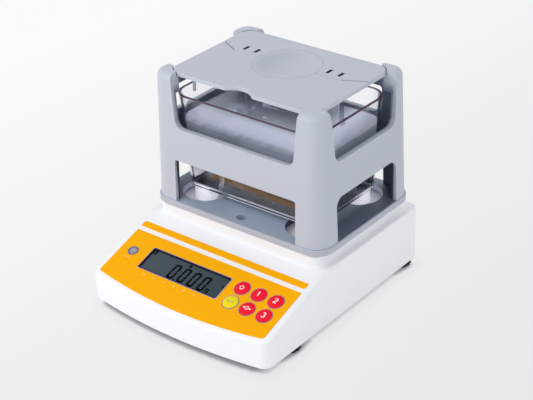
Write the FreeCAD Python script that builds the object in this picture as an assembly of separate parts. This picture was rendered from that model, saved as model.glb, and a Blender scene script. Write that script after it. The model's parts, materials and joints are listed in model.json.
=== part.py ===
"""Benchtop density meter: a balance housing with a water tank under a weighing stand.

Millimetres, Z up, X to the right and Y to the rear. The origin is on the bench, in the
middle of the housing's footprint. The user stands on the -Y side.
"""
import FreeCAD, Part
import math
import os

V = FreeCAD.Vector
os.makedirs("parts", exist_ok=True)

# ---------------------------------------------------------------- driving sizes
# housing
W = 180.0                # width
DEPTH = 215.8            # depth over the bulged front
BULGE = 8.4              # how far the front stands out in its middle
BASE_Z = 8.0             # underside above the bench
DECK_Z = 56.0            # flat deck round the seat
PANEL_FOOT_Z = 31.8      # height of the panel plane above the front corners
WALL = 2.5
CORNER_R = 8.0
EDGE_R = 2.2
# seat: the raised block of the housing that the stand hovers over
SEAT_W, SEAT_D, SEAT_R = W - 16.0, 127.0, 9.0
SEAT_Z = 66.0
SEAT_FOOT_R = 4.0
SEAT_BACK = 70.0         # from the housing's rear to the centre line of seat, stand and tank
FOLD_IN = 1.0            # the panel meets the deck this far behind the seat's front
# where that puts the housing's faces and the slope of its panel
FRONT_Y = -DEPTH / 2
REAR_Y = DEPTH / 2
CORNER_Y = FRONT_Y + BULGE
SEAT_Y = REAR_Y - SEAT_BACK
SEAT_FRONT_Y = SEAT_Y - SEAT_D / 2
TAN = (DECK_Z - PANEL_FOOT_Z) / (SEAT_FRONT_Y + FOLD_IN - CORNER_Y)
SLOPE = math.degrees(math.atan(TAN))
COS = math.cos(math.radians(SLOPE))
PANEL_RUN = (SEAT_FRONT_Y - CORNER_Y) / COS
# weighing stand
STAND_W, STAND_D, STAND_R = 174.8, 129.3, 16.6
PAN_GAP = 0.8            # air between the seat and the weighed parts
PAN_T = 5.1
LIP = 1.5                # ledge of the base plate outside the frame
DRAFT = 0.03             # run per mm of height
FRAME_WALL = 5.0
FRAME_TOP = 183.0
TOP_ROUND = 5.5          # rounding over the pillar tops
CAP_Z = 166.0            # underside of the solid pillar caps
BAND_LOW = 109.3         # belt round the frame
BAND_FRONT, BAND_SIDE = 137.9, 139.4
WIN_R = 8.0              # lower corners of the upper windows
UP_HALF_X, UP_HALF_Y = 58.9, 40.0
UP_FLARE = 0.09          # the upper windows widen upwards
LOW_HALF_X, LOW_HALF_Y = 61.2, 40.6
RAIL_LOW, RAIL_TOP = 162.0, 172.8
# tank
RIM_W, RIM_D, RIM_R = 145.2, 101.6, 17.0
FOOT_W, FOOT_D, FOOT_R = 133.4, 90.2, 13.0
TANK_Z0, TANK_Z1 = 77.5, 162.0
TANK_WALL = 2.5
TANK_EDGE_R = 5.0
TANK_CLEAR = 0.8         # rim to pillar caps
POST_X, POST_Y = 53.5, 33.7
POST_HOLE_R = 19.5
POST_R = 9.5
# weighing plate
PLATE_W, PLATE_D, PLATE_R = 146.2, 103.2, 13.0
PLATE_Z, PLATE_T = 179.2, 3.0
PLATE_CLEAR = 0.8
DISH_R, DISH_DEEP, DISH_OFF = 28.5, 2.6, 11.5
STEP_UP = 0.35           # rear field of the plate above its front field
STEP_Y = 9.4
SLOT_X, SLOT_Y, SLOT_W, SLOT_L = (36.2, 47.5), 17.8, 2.6, 7.2
NOTCH_W, NOTCH_DEEP = 26.0, 6.5
PEG_X, PEG_Y, PEG_R, PEG_LEN = 55.0, 40.0, 1.3, 15.0
# basket
BASKET_Z = 92.0
BASKET_W, BASKET_D = 104.0, 56.0
# panel (x, s up the slope, n out of it)
OVER_HALF = W / 2 - 5.5
OVER_TOP = 0.68631 * PANEL_RUN
OVER_INSET = 4.0         # overlay back from the front edge
OVER_T = 0.5
STRIP_LOW, STRIP_TOP = 0.74425 * PANEL_RUN, 0.81894 * PANEL_RUN
LCD_X0, LCD_X1 = -0.672 * OVER_HALF, 0.303 * OVER_HALF
LCD_S0, LCD_S1 = 0.2395 * PANEL_RUN, 0.54724 * PANEL_RUN
KEY_PITCH = 0.1953 * OVER_HALF
KEY_X = tuple(0.654 * OVER_HALF + k * KEY_PITCH for k in (-1, 0, 1))
KEY_S = (0.47514 * PANEL_RUN, 0.27298 * PANEL_RUN)
KEY_R = min(0.376 * KEY_PITCH, 0.395 * (KEY_S[0] - KEY_S[1]))
KEY_CLEAR = 0.25
KEY_RING_W = 0.95        # width of the ring round a key
KEY_TRAVEL = 0.8
KEY_STROKE_FREE = 0.3    # from a key's flange up to the panel's underside
LEVEL_X, LEVEL_S, LEVEL_R = -0.847 * OVER_HALF, 0.40818 * PANEL_RUN, 4.7
# feet
FOOT_X = W / 2 - 11.5
FOOT_Y0, FOOT_Y1 = 50.0 - DEPTH / 2, DEPTH / 2 - 11.0
FOOT_DISC_R = 9.5
FOOT_H = 7.4
STUD_R = 3.0
THREAD_CLEAR = 0.06
# chassis
TRAY_T = 3.0
TRAY_CLEAR = 0.4
TRAY_Z = BASE_Z + 0.4

PAN_Z = SEAT_Z + PAN_GAP
FRAME_Z = PAN_Z + PAN_T
TRAY_TOP = TRAY_Z + TRAY_T


# ---------------------------------------------------------------- helpers
def save(name, *solids):
    shape = solids[0] if len(solids) == 1 else Part.makeCompound(list(solids))
    shape.exportStep("parts/" + name + ".step")
    return shape


def box(x0, x1, y0, y1, z0, z1):
    return Part.makeBox(x1 - x0, y1 - y0, z1 - z0, V(x0, y0, z0))


def cyl(x, y, z0, z1, r):
    return Part.makeCylinder(r, z1 - z0, V(x, y, z0))


def ring(x, y, z0, z1, r_out, r_in):
    return cyl(x, y, z0, z1, r_out).cut(cyl(x, y, z0 - 1, z1 + 1, r_in))


def cone(x, y, z0, z1, r0, r1):
    return Part.makeCone(r0, r1, z1 - z0, V(x, y, z0))


def rrect(w, d, r, z, cx=0.0, cy=0.0):
    """Closed wire: rectangle w by d with corners of radius r, at height z."""
    a, b = w / 2, d / 2
    k = r * (1 - math.sqrt(0.5))
    edges = []
    corners = [(a, b, 1, 1), (-a, b, -1, 1), (-a, -b, -1, -1), (a, -b, 1, -1)]
    pts = []
    for i, (x, y, sx, sy) in enumerate(corners):
        along_x = V(cx + x - sx * r, cy + y, z)
        along_y = V(cx + x, cy + y - sy * r, z)
        mid = V(cx + x - sx * k, cy + y - sy * k, z)
        pts.append((along_y, mid, along_x) if i % 2 == 0 else (along_x, mid, along_y))
    for i in range(4):
        edges.append(Part.Arc(*pts[i]).toShape())
        edges.append(Part.makeLine(pts[i][2], pts[(i + 1) % 4][0]))
    return Part.Wire(edges)


def slab(w, d, r, z0, z1, cx=0.0, cy=0.0):
    return Part.Face(rrect(w, d, r, z0, cx, cy)).extrude(V(0, 0, z1 - z0))


def taper(low, high):
    """Solid between two rounded rectangles given as (w, d, r, z)."""
    a = rrect(*low, 0.0, SEAT_Y)
    b = rrect(*high, 0.0, SEAT_Y)
    return Part.makeLoft([a, b], True, True)


def prism(points, axis, length):
    """Extrude a closed polygon of vectors along axis."""
    face = Part.Face(Part.makePolygon(points + [points[0]]))
    return face.extrude(axis * length)


def fillet_where(shape, radius, test):
    picked = [e for e in shape.Edges if test(e)]
    return shape.makeFillet(radius, picked)


def on_panel(shape):
    """Move a shape drawn in panel axes (x, s, n) on to the sloped panel."""
    out = shape.copy()
    out.rotate(V(0, 0, 0), V(1, 0, 0), SLOPE)
    out.translate(V(0, CORNER_Y, PANEL_FOOT_Z))
    return out


def screw(x, y, z, length, r=1.5, head_r=2.8, head_h=2.0, up=True):
    """Pan screw; its head's seat is at z and the shank runs up, or down."""
    s = 1 if up else -1
    shank = Part.makeCylinder(r, length, V(x, y, z), V(0, 0, s))
    head = Part.makeCylinder(head_r, head_h, V(x, y, z), V(0, 0, -s))
    drive = Part.makeCylinder(head_r * 0.45, head_h * 0.5, V(x, y, z - s * head_h), V(0, 0, s))
    return shank.fuse(head).cut(drive)


def mirrored(points):
    return [(sx * x, y) for x, y in points for sx in (-1, 1)]


# ---------------------------------------------------------------- housing outline
def plan(inset, z0, z1):
    """Footprint of the housing, moved in by inset, as a prism."""
    a = W / 2 - inset
    y1 = REAR_Y - inset
    yc = CORNER_Y + inset
    ym = FRONT_Y + inset
    arc = Part.Arc(V(-a, yc, z0), V(0, ym, z0), V(a, yc, z0)).toShape()
    sides = [Part.makeLine(V(a, yc, z0), V(a, y1, z0)),
             Part.makeLine(V(a, y1, z0), V(-a, y1, z0)),
             Part.makeLine(V(-a, y1, z0), V(-a, yc, z0))]
    body = Part.Face(Part.Wire([arc] + sides)).extrude(V(0, 0, z1 - z0))
    upright = [e for e in body.Edges if abs(e.tangentAt(e.FirstParameter).z) > 0.99]
    return body.makeFillet(CORNER_R - inset, upright)


def side_cut(drop):
    """Side view of the housing, its top lowered by drop, across the whole width."""
    lift = drop / COS
    top = DECK_Z - drop
    y_break = CORNER_Y + (top - (PANEL_FOOT_Z - lift)) / TAN
    y_far = FRONT_Y - 5
    z_far = PANEL_FOOT_Z - lift + (y_far - CORNER_Y) * TAN
    pts = [V(-W, y_far, -5), V(-W, REAR_Y + 5, -5), V(-W, REAR_Y + 5, top),
           V(-W, y_break, top), V(-W, y_far, z_far)]
    return prism(pts, V(1, 0, 0), 2 * W)


def shell_body(inset, drop, bottom):
    return plan(inset, bottom, DECK_Z + 5).common(side_cut(drop))


def is_top_edge(e):
    """Edges round the deck and the panel, but not the fold between the two."""
    c = e.CenterOfMass
    t = e.tangentAt((e.FirstParameter + e.LastParameter) / 2)
    fold = abs(c.x) < 1 and FRONT_Y + 20 < c.y < REAR_Y - 10
    return c.z > BASE_Z + 18 and abs(t.z) < 0.9 and not fold


outer = shell_body(0.0, 0.0, BASE_Z)
outer = fillet_where(outer, EDGE_R, is_top_edge)
seat = slab(SEAT_W, SEAT_D, SEAT_R, DECK_Z - 6, SEAT_Z, 0, SEAT_Y)
seat = fillet_where(seat, 1.6, lambda e: e.CenterOfMass.z > SEAT_Z - 0.1)
outer = outer.fuse(seat)


def cove_rect(step, steps):
    """Outline of the concave foot of the seat; it is slimmer at the front, on the slope."""
    t = math.radians(90.0 * step / steps)
    off = SEAT_FOOT_R * (1 - math.sin(t)) + 0.01
    front_off = 0.3 * off
    return rrect(SEAT_W + 2 * off, SEAT_D + off + front_off, SEAT_R + off * 0.6,
                 DECK_Z + SEAT_FOOT_R * (1 - math.cos(t)), 0, SEAT_Y + (off - front_off) / 2)


COVE_STEPS = 5
cove_low = cove_rect(0, COVE_STEPS)
outer = outer.fuse(Part.Face(cove_low).extrude(V(0, 0, -2.5)))
for i in range(COVE_STEPS):
    outer = outer.fuse(Part.makeLoft([cove_rect(i, COVE_STEPS), cove_rect(i + 1, COVE_STEPS)],
                                     True, True))

inner = shell_body(WALL, WALL, BASE_Z - 1)
hollow_seat = slab(SEAT_W - 2 * WALL, SEAT_D - 2 * WALL, SEAT_R - WALL, DECK_Z - 12,
                   SEAT_Z - WALL, 0, SEAT_Y)
housing = outer.cut(inner).cut(hollow_seat)

# pillars inside for the tray screws
SCREW_X = W / 2 - 9.0
SCREW_FRONT, SCREW_REAR = 17.9, 9.9      # in from the front and the rear
TRAY_SCREWS = mirrored([(SCREW_X, FRONT_Y + SCREW_FRONT), (SCREW_X, SEAT_Y - 25.9),
                        (SCREW_X * 0.64, REAR_Y - SCREW_REAR)])
for x, y in TRAY_SCREWS:
    top = min(DECK_Z, PANEL_FOOT_Z + (y - CORNER_Y) * TAN) - WALL / 2
    housing = housing.fuse(cyl(x, y, TRAY_TOP, top, 3.6).common(inner))
    housing = housing.cut(cyl(x, y, TRAY_TOP - 1, TRAY_TOP + 9, 1.25))

# openings of the control panel
lcd_w, lcd_h = LCD_X1 - LCD_X0, LCD_S1 - LCD_S0
lcd_x, lcd_s = (LCD_X0 + LCD_X1) / 2, (LCD_S0 + LCD_S1) / 2
LENS_IN = 1.4            # lens edge inside the frame's outer edge
lens_w, lens_h = lcd_w - 2 * LENS_IN, lcd_h - 2 * LENS_IN
housing = housing.cut(on_panel(slab(lens_w + 0.4, lens_h + 0.4, 0.6, -8, 4, lcd_x, lcd_s)))
keys = [(x, s) for s in KEY_S for x in KEY_X]
for x, s in keys:
    housing = housing.cut(on_panel(cyl(x, s, -8, 4, KEY_R + KEY_CLEAR)))
housing = housing.cut(on_panel(cyl(LEVEL_X, LEVEL_S, -8, 4, LEVEL_R - 0.2)))

# pillars under the panel for the display and key boards
BOARD_T = 1.6            # thickness of a circuit board
BOARD_N = -9.0           # top face of the key board
DISPLAY_N = -8.2         # top face of the display board
DISP_SCREW_OUT = 4.4     # board screws below and above the display's frame
disp_screws = [(x, s) for s in (LCD_S0 - DISP_SCREW_OUT, LCD_S1 + DISP_SCREW_OUT)
               for x in (LCD_X0 - 1.2, LCD_X1 - 4)]
key_mid_x, key_mid_s = KEY_X[1], (KEY_S[0] + KEY_S[1]) / 2
key_left_x = (KEY_X[0] + KEY_X[1]) / 2
KEY_SCREW_OUT = 18.0     # board screws above and below the middle of the keys
key_screws = [(key_left_x, key_mid_s - KEY_SCREW_OUT), (key_mid_x + KEY_PITCH / 2, key_mid_s),
              (key_left_x, key_mid_s + KEY_SCREW_OUT)]
for pts, n in ((disp_screws, DISPLAY_N), (key_screws, BOARD_N)):
    for x, s in pts:
        housing = housing.fuse(on_panel(cyl(x, s, n, -WALL / 2, 2.4)))
        housing = housing.cut(on_panel(cyl(x, s, n - 1, n + 4.5, 0.9)))

# openings in the seat: four for the load legs, four screw holes under the posts
LEG_X, LEG_Y = 24.0, 20.0
LEG_R = 4.0
CUSHION_R = 6.0
for sx in (-1, 1):
    for sy in (-1, 1):
        housing = housing.cut(cyl(sx * LEG_X, SEAT_Y + sy * LEG_Y, DECK_Z, SEAT_Z + 2,
                                  CUSHION_R + 1.5))
        housing = housing.cut(cyl(sx * POST_X, SEAT_Y + sy * POST_Y, DECK_Z, SEAT_Z + 2, 2.2))

# sockets in the rear wall
JACK_X, DATA_X, SOCKET_Z = 23.0 - W / 2, -12.0, 27.0
JACK_R = 5.6
DATA_W, DATA_H = 17.4, 9.2
housing = housing.cut(Part.makeCylinder(JACK_R + 0.2, 10, V(JACK_X, REAR_Y - 5, SOCKET_Z),
                                        V(0, 1, 0)))
data_hole = box(DATA_X - DATA_W / 2, DATA_X + DATA_W / 2, REAR_Y - 5, REAR_Y + 5,
                SOCKET_Z - DATA_H / 2, SOCKET_Z + DATA_H / 2)
housing = housing.cut(data_hole)
for sx in (-1, 1):
    housing = housing.cut(Part.makeCylinder(1.6, 10, V(DATA_X + sx * 12.5, REAR_Y - 5, SOCKET_Z),
                                            V(0, 1, 0)))
save("top_housing", housing)

# ---------------------------------------------------------------- bottom tray
tray_in = WALL + TRAY_CLEAR
tray = plan(tray_in, TRAY_Z, TRAY_TOP)
ribs = []
for y in (FRONT_Y + 37.9, SEAT_FRONT_Y - 4.4, SEAT_Y + 37.1):
    ribs.append(box(-W / 3, W / 3, y - 1, y + 1, TRAY_TOP - 0.5, TRAY_TOP + 3))
for r in ribs:
    tray = tray.fuse(r)
feet = [(sx * FOOT_X, y) for y in (FOOT_Y0, FOOT_Y1) for sx in (-1, 1)]
NUT_Z = TRAY_TOP + 2.0
for x, y in feet:
    tray = tray.fuse(cyl(x, y, TRAY_TOP - 0.5, NUT_Z, 7.6))
    tray = tray.cut(cyl(x, y, TRAY_Z - 1, NUT_Z + 1, STUD_R + 0.5))
for x, y in TRAY_SCREWS:
    tray = tray.cut(cyl(x, y, TRAY_Z - 1, TRAY_TOP + 1, 1.75))
    tray = tray.cut(cyl(x, y, TRAY_Z - 1, TRAY_Z + 2.0, 3.1))
# block that carries the load cell, and posts for the main board
CELL_L, CELL_W, CELL_H = 80.0, 16.0, 22.0
CELL_Z = 22.0
CELL_GRIP = 20.0
tray = tray.fuse(box(-CELL_L / 2 - 4, -CELL_L / 2 + CELL_GRIP + 4, SEAT_Y - 14, SEAT_Y + 14,
                     TRAY_TOP - 0.5, TRAY_TOP + 5.6))
BOARD_Z = 17.4
MAIN_W = 98.0
MAIN_X0, MAIN_Y0 = -W / 3, FRONT_Y + 37.9
MAIN_X1, MAIN_Y1 = MAIN_X0 + MAIN_W, SEAT_FRONT_Y + 19.6
MAIN_D = MAIN_Y1 - MAIN_Y0
HOLE_IN = 4.0            # board holes in from its edges
board_holes = [(x, y) for y in (MAIN_Y0 + HOLE_IN, MAIN_Y1 - HOLE_IN)
               for x in (MAIN_X0 + HOLE_IN, MAIN_X1 - HOLE_IN)]
for x, y in board_holes:
    tray = tray.fuse(cyl(x, y, TRAY_TOP - 0.5, BOARD_Z, 3.0))
    tray = tray.cut(cyl(x, y, BOARD_Z - 5, BOARD_Z + 1, 1.1))
cell_bolts = [(-CELL_L / 2 + 5, SEAT_Y), (-CELL_L / 2 + 15, SEAT_Y)]
for x, y in cell_bolts:
    tray = tray.cut(cyl(x, y, TRAY_Z - 1, CELL_Z, 2.2))
    tray = tray.cut(cyl(x, y, TRAY_Z - 1, TRAY_Z + 3.4, 4.2))
# stop posts keep the load legs from bottoming hard
STOP_X, STOP_Y = 46.0, 26.0
STOP_TOP = 36.0
STOP_GAP = 0.4           # from a stop's head to the spider above it
for sx in (-1, 1):
    for sy in (-1, 1):
        tray = tray.fuse(cyl(sx * STOP_X, SEAT_Y + sy * STOP_Y, TRAY_TOP - 0.5, STOP_TOP, 4.0))
        tray = tray.cut(cyl(sx * STOP_X, SEAT_Y + sy * STOP_Y, STOP_TOP - 12, STOP_TOP + 1, 1.6))
save("bottom_tray", tray)

# ---------------------------------------------------------------- feet, nuts and tray screws
def levelling_foot(x, y):
    """Rubber tipped thumb wheel on a stud."""
    wheel_z0 = 2.2
    disc = cyl(x, y, wheel_z0, FOOT_H, FOOT_DISC_R)
    tip = cone(x, y, 0, wheel_z0, FOOT_DISC_R - 2.4, FOOT_DISC_R - 0.6)
    hub = cyl(x, y, FOOT_H - 0.2, FOOT_H + 0.6, STUD_R + 1.2)
    stud = cyl(x, y, FOOT_H, 24.0, STUD_R)
    body = disc.fuse([tip, hub, stud])
    for i in range(12):
        a = 2 * math.pi * (i + 0.5) / 12
        r = FOOT_DISC_R + 0.9
        body = body.cut(cyl(x + r * math.cos(a), y + r * math.sin(a), wheel_z0, FOOT_H + 1, 1.7))
    return body


for name, (x, y) in zip(("front_left_foot", "front_right_foot", "rear_left_foot",
                         "rear_right_foot"), feet):
    save(name, levelling_foot(x, y))


def hex_nut(x, y, z0, z1, across, bore):
    r = across / math.sqrt(3)
    pts = [V(x + r * math.cos(math.pi * i / 3), y + r * math.sin(math.pi * i / 3), z0)
           for i in range(6)]
    return prism(pts, V(0, 0, 1), z1 - z0).cut(cyl(x, y, z0 - 1, z1 + 1, bore))


save("foot_nuts", *[hex_nut(x, y, NUT_Z, NUT_Z + 5.0, 10.0, STUD_R + THREAD_CLEAR)
                    for x, y in feet])
save("tray_screws", *[screw(x, y, TRAY_Z + 2.0, 8.0, r=1.25, head_r=2.8, head_h=1.7)
                      for x, y in TRAY_SCREWS])

# ---------------------------------------------------------------- load cell and its mounts
cell_x0 = -CELL_L / 2
cell = box(cell_x0, -cell_x0, SEAT_Y - CELL_W / 2, SEAT_Y + CELL_W / 2, CELL_Z, CELL_Z + CELL_H)
# the bending window: two holes at each end joined by a slot
win_z = CELL_Z + CELL_H / 2
for sx in (-1, 1):
    for dz in (-5.2, 5.2):
        cell = cell.cut(Part.makeCylinder(4.0, CELL_W + 2, V(sx * 13, SEAT_Y - CELL_W / 2 - 1,
                                                             win_z + dz), V(0, 1, 0)))
cell = cell.cut(box(-13, 13, SEAT_Y - CELL_W, SEAT_Y + CELL_W, win_z - 7, win_z + 7))
for x, y in cell_bolts:
    cell = cell.cut(cyl(x, y, CELL_Z - 1, CELL_Z + 12, 2.0))
    cell = cell.cut(cyl(-x, y, CELL_Z + CELL_H - 12, CELL_Z + CELL_H + 1, 2.0))
save("load_cell", cell)
save("load_cell_gauges",
     *[box(sx * 13 - 3.5, sx * 13 + 3.5, SEAT_Y - 5, SEAT_Y + 5, z, z + 0.6)
       for sx in (-1, 1) for z in (CELL_Z - 0.6, CELL_Z + CELL_H)])
mount = box(-CELL_L / 2 - 3, -CELL_L / 2 + CELL_GRIP, SEAT_Y - 12, SEAT_Y + 12,
            TRAY_TOP + 5.6, CELL_Z)
for x, y in cell_bolts:
    mount = mount.cut(cyl(x, y, TRAY_TOP, CELL_Z + 1, 2.2))
save("load_cell_base", mount)
spider_z = CELL_Z + CELL_H + 3.0
SPIDER_T = 4.0
spacer = box(CELL_L / 2 - CELL_GRIP, CELL_L / 2, SEAT_Y - CELL_W / 2, SEAT_Y + CELL_W / 2,
             CELL_Z + CELL_H, spider_z)
for x, y in cell_bolts:
    spacer = spacer.cut(cyl(-x, y, CELL_Z, spider_z + 1, 2.2))
save("load_spacer", spacer)

# spider: a cast cross that brings four legs up through the seat
plate = box(-30, CELL_L / 2 + 2, SEAT_Y - 11, SEAT_Y + 11, spider_z, spider_z + SPIDER_T)
for sx in (-1, 1):
    for sy in (-1, 1):
        x, y = sx * LEG_X, SEAT_Y + sy * LEG_Y
        plate = plate.fuse(box(x - 5.5, x + 5.5, min(SEAT_Y, y), max(SEAT_Y, y), spider_z,
                               spider_z + SPIDER_T))
        plate = plate.fuse(cyl(x, y, spider_z, spider_z + SPIDER_T, 6.5))
        plate = plate.fuse(cyl(x, y, spider_z, SEAT_Z - 1.0, LEG_R))
        sxx, syy = sx * STOP_X, SEAT_Y + sy * STOP_Y
        arm = Part.makeLine(V(x, y, spider_z), V(sxx, syy, spider_z))
        d = V(syy - y, x - sxx, 0)
        d.normalize()
        d = d * 3.5
        a, b = V(x, y, spider_z), V(sxx, syy, spider_z)
        plate = plate.fuse(prism([a + d, b + d, b - d, a - d], V(0, 0, 1), SPIDER_T))
        plate = plate.fuse(cyl(sxx, syy, spider_z, spider_z + SPIDER_T, 3.5))
for x, y in cell_bolts:
    plate = plate.cut(cyl(-x, y, spider_z - 1, spider_z + SPIDER_T + 1, 2.2))
save("load_spider", plate.removeSplitter())
cap_top = PAN_Z
cushions = []
for sx in (-1, 1):
    for sy in (-1, 1):
        x, y = sx * LEG_X, SEAT_Y + sy * LEG_Y
        c = cyl(x, y, SEAT_Z - 5.0, cap_top, CUSHION_R).cut(cyl(x, y, SEAT_Z - 6, SEAT_Z - 1.0,
                                                               LEG_R))
        cushions.append(fillet_where(c, 0.7, lambda e: e.CenterOfMass.z > cap_top - 0.05))
save("leg_cushions", *cushions)
bolts = [screw(x, y, TRAY_Z + 3.4, 20.0, r=2.0, head_r=3.8, head_h=2.6) for x, y in cell_bolts]
bolts += [screw(-x, y, spider_z + SPIDER_T, 15.0, r=2.0, head_r=3.8, head_h=2.6, up=False)
          for x, y in cell_bolts]
save("load_cell_bolts", *bolts)
stops = []
for sx in (-1, 1):
    for sy in (-1, 1):
        x, y = sx * STOP_X, SEAT_Y + sy * STOP_Y
        stops.append(screw(x, y, spider_z - STOP_GAP - 2.2, 18.0, r=1.6, head_r=3.2, head_h=2.2, up=False)
                     .fuse(hex_nut(x, y, STOP_TOP, STOP_TOP + 2.4, 5.5, 1.55)))
save("overload_stops", *stops)

# ---------------------------------------------------------------- tank posts
posts = []
post_screws = []
for sx in (-1, 1):
    for sy in (-1, 1):
        x, y = sx * POST_X, SEAT_Y + sy * POST_Y
        p = cyl(x, y, SEAT_Z, TANK_Z0, POST_R)
        p = fillet_where(p, 1.6, lambda e: e.CenterOfMass.z > TANK_Z0 - 0.05)
        posts.append(p.cut(cyl(x, y, SEAT_Z - 1, SEAT_Z + 8, 1.6)))
        post_screws.append(screw(x, y, SEAT_Z - WALL, 9.0, r=1.6, head_r=3.2, head_h=1.9))
save("tank_posts", *posts)
save("post_screws", *post_screws)

# ---------------------------------------------------------------- stand: base plate
pan = slab(STAND_W, STAND_D, STAND_R, PAN_Z, FRAME_Z, 0, SEAT_Y)
pan = fillet_where(pan, 0.9, lambda e: e.CenterOfMass.z > FRAME_Z - 0.05)
for sx in (-1, 1):
    for sy in (-1, 1):
        pan = pan.cut(cyl(sx * POST_X, SEAT_Y + sy * POST_Y, PAN_Z - 1, FRAME_Z + 1, POST_HOLE_R))
pan = pan.cut(cyl(0, SEAT_Y - 53.4, PAN_Z - 1, FRAME_Z + 1, 4.4))
FRAME_SCREW_IN = (8.4, 7.65)     # in from the plate's sides
FRAME_SCREWS = [(sx * (STAND_W / 2 - FRAME_SCREW_IN[0]), SEAT_Y + sy * (STAND_D / 2 - FRAME_SCREW_IN[1]))
                for sx in (-1, 1) for sy in (-1, 1)]
for x, y in FRAME_SCREWS:
    pan = pan.cut(cyl(x, y, PAN_Z - 1, FRAME_Z + 1, 1.8))
    pan = pan.cut(cyl(x, y, PAN_Z - 1, PAN_Z + 2.1, 3.2))
save("stand_base_plate", pan)

# ---------------------------------------------------------------- stand: frame
def frame_rect(inset, z):
    s = LIP + inset + DRAFT * (z - FRAME_Z)
    return (STAND_W - 2 * s, STAND_D - 2 * s, max(STAND_R - s, 4.0), z)


frame = taper(frame_rect(0, FRAME_Z), frame_rect(0, FRAME_TOP))
frame = fillet_where(frame, TOP_ROUND, lambda e: e.CenterOfMass.z > FRAME_TOP - 0.05)
hollow = taper(frame_rect(FRAME_WALL, FRAME_Z - 1), frame_rect(FRAME_WALL, CAP_Z))
frame = frame.cut(hollow)
frame = frame.cut(slab(RIM_W + 2 * TANK_CLEAR, RIM_D + 2 * TANK_CLEAR, RIM_R + TANK_CLEAR,
                       CAP_Z - 5, FRAME_TOP + 5, 0, SEAT_Y))
frame = frame.cut(slab(PLATE_W + 2 * PLATE_CLEAR, PLATE_D + 2 * PLATE_CLEAR,
                       PLATE_R + PLATE_CLEAR, PLATE_Z, FRAME_TOP + 5, 0, SEAT_Y))


def window(half, z0, z1, flare, r_low, r_high, across):
    """Window cutter in the XZ plane, centred, with its own corner radii."""
    h1 = half + flare * (z1 - z0)
    face = Part.Face(Part.makePolygon([V(-half, 0, z0), V(half, 0, z0), V(h1, 0, z1),
                                       V(-h1, 0, z1), V(-half, 0, z0)]))
    solid = face.extrude(V(0, across, 0))
    solid.translate(V(0, -across / 2, 0))

    def near(z):
        return lambda e: (abs(e.CenterOfMass.z - z) < 0.1
                          and abs(e.tangentAt(e.FirstParameter).y) > 0.9)
    if r_low:
        solid = fillet_where(solid, r_low, near(z0))
    if r_high:
        solid = fillet_where(solid, r_high, near(z1))
    return solid


def side_on(solid, offset, turn):
    out = solid.copy()
    out.rotate(V(0, 0, 0), V(0, 0, 1), turn)
    out.translate(offset)
    return out


up_front = window(UP_HALF_X, BAND_FRONT, 200.0, UP_FLARE, WIN_R, 0, 40)
up_side = window(UP_HALF_Y, BAND_SIDE, 200.0, UP_FLARE, WIN_R, 0, 40)
rear_up = window(UP_HALF_X, BAND_FRONT, RAIL_LOW, UP_FLARE, WIN_R, 3.0, 40)
left_up = window(UP_HALF_Y, BAND_SIDE, RAIL_LOW, UP_FLARE, WIN_R, 3.0, 40)
low_front = window(LOW_HALF_X, FRAME_Z - 5, BAND_LOW, 0.0, 0, 1.6, 40)
low_side = window(LOW_HALF_Y, FRAME_Z - 5, BAND_LOW, 0.0, 0, WIN_R, 40)
half_d, half_w = STAND_D / 2, STAND_W / 2
for cutter in (up_front, low_front):
    frame = frame.cut(side_on(cutter, V(0, SEAT_Y - half_d, 0), 0))
for cutter in (rear_up, low_front):
    frame = frame.cut(side_on(cutter, V(0, SEAT_Y + half_d, 0), 0))
for cutter in (up_side, low_side):
    frame = frame.cut(side_on(cutter, V(half_w, SEAT_Y, 0), 90))
for cutter in (left_up, low_side):
    frame = frame.cut(side_on(cutter, V(-half_w, SEAT_Y, 0), 90))
# above the two rails the frame is open again
frame = frame.cut(box(-62.5, 62.5, SEAT_Y + 45, SEAT_Y + 75, RAIL_TOP, 200))
frame = frame.cut(box(-100, -65, SEAT_Y - 43.2, SEAT_Y + 43.2, RAIL_TOP, 200))
# blind holes for the stand screws
for x, y in FRAME_SCREWS:
    frame = frame.cut(cyl(x, y, FRAME_Z - 1, FRAME_Z + 8, 1.3))
save("stand_frame", frame)
save("stand_screws", *[screw(x, y, PAN_Z + 2.1, 9.0, r=1.3, head_r=2.9, head_h=1.8)
                       for x, y in FRAME_SCREWS])

# ---------------------------------------------------------------- weighing plate
plate = slab(PLATE_W, PLATE_D, PLATE_R, PLATE_Z, PLATE_Z + PLATE_T, 0, SEAT_Y)
half_pd = PLATE_D / 2
notch_r = ((NOTCH_W / 2) ** 2 + NOTCH_DEEP ** 2) / (2 * NOTCH_DEEP)
front = SEAT_Y - half_pd
bite = cyl(0, front + NOTCH_DEEP - notch_r, PLATE_Z - 1, PLATE_Z + PLATE_T + 1, notch_r)
plate = plate.cut(bite)
plate = fillet_where(plate, 4.0, lambda e: abs(abs(e.CenterOfMass.x) - NOTCH_W / 2) < 0.2
                     and abs(e.CenterOfMass.y - front) < 0.2 and e.Length < PLATE_T + 0.1)
plate = fillet_where(plate, 0.9, lambda e: e.CenterOfMass.z > PLATE_Z + PLATE_T - 0.05)
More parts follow.
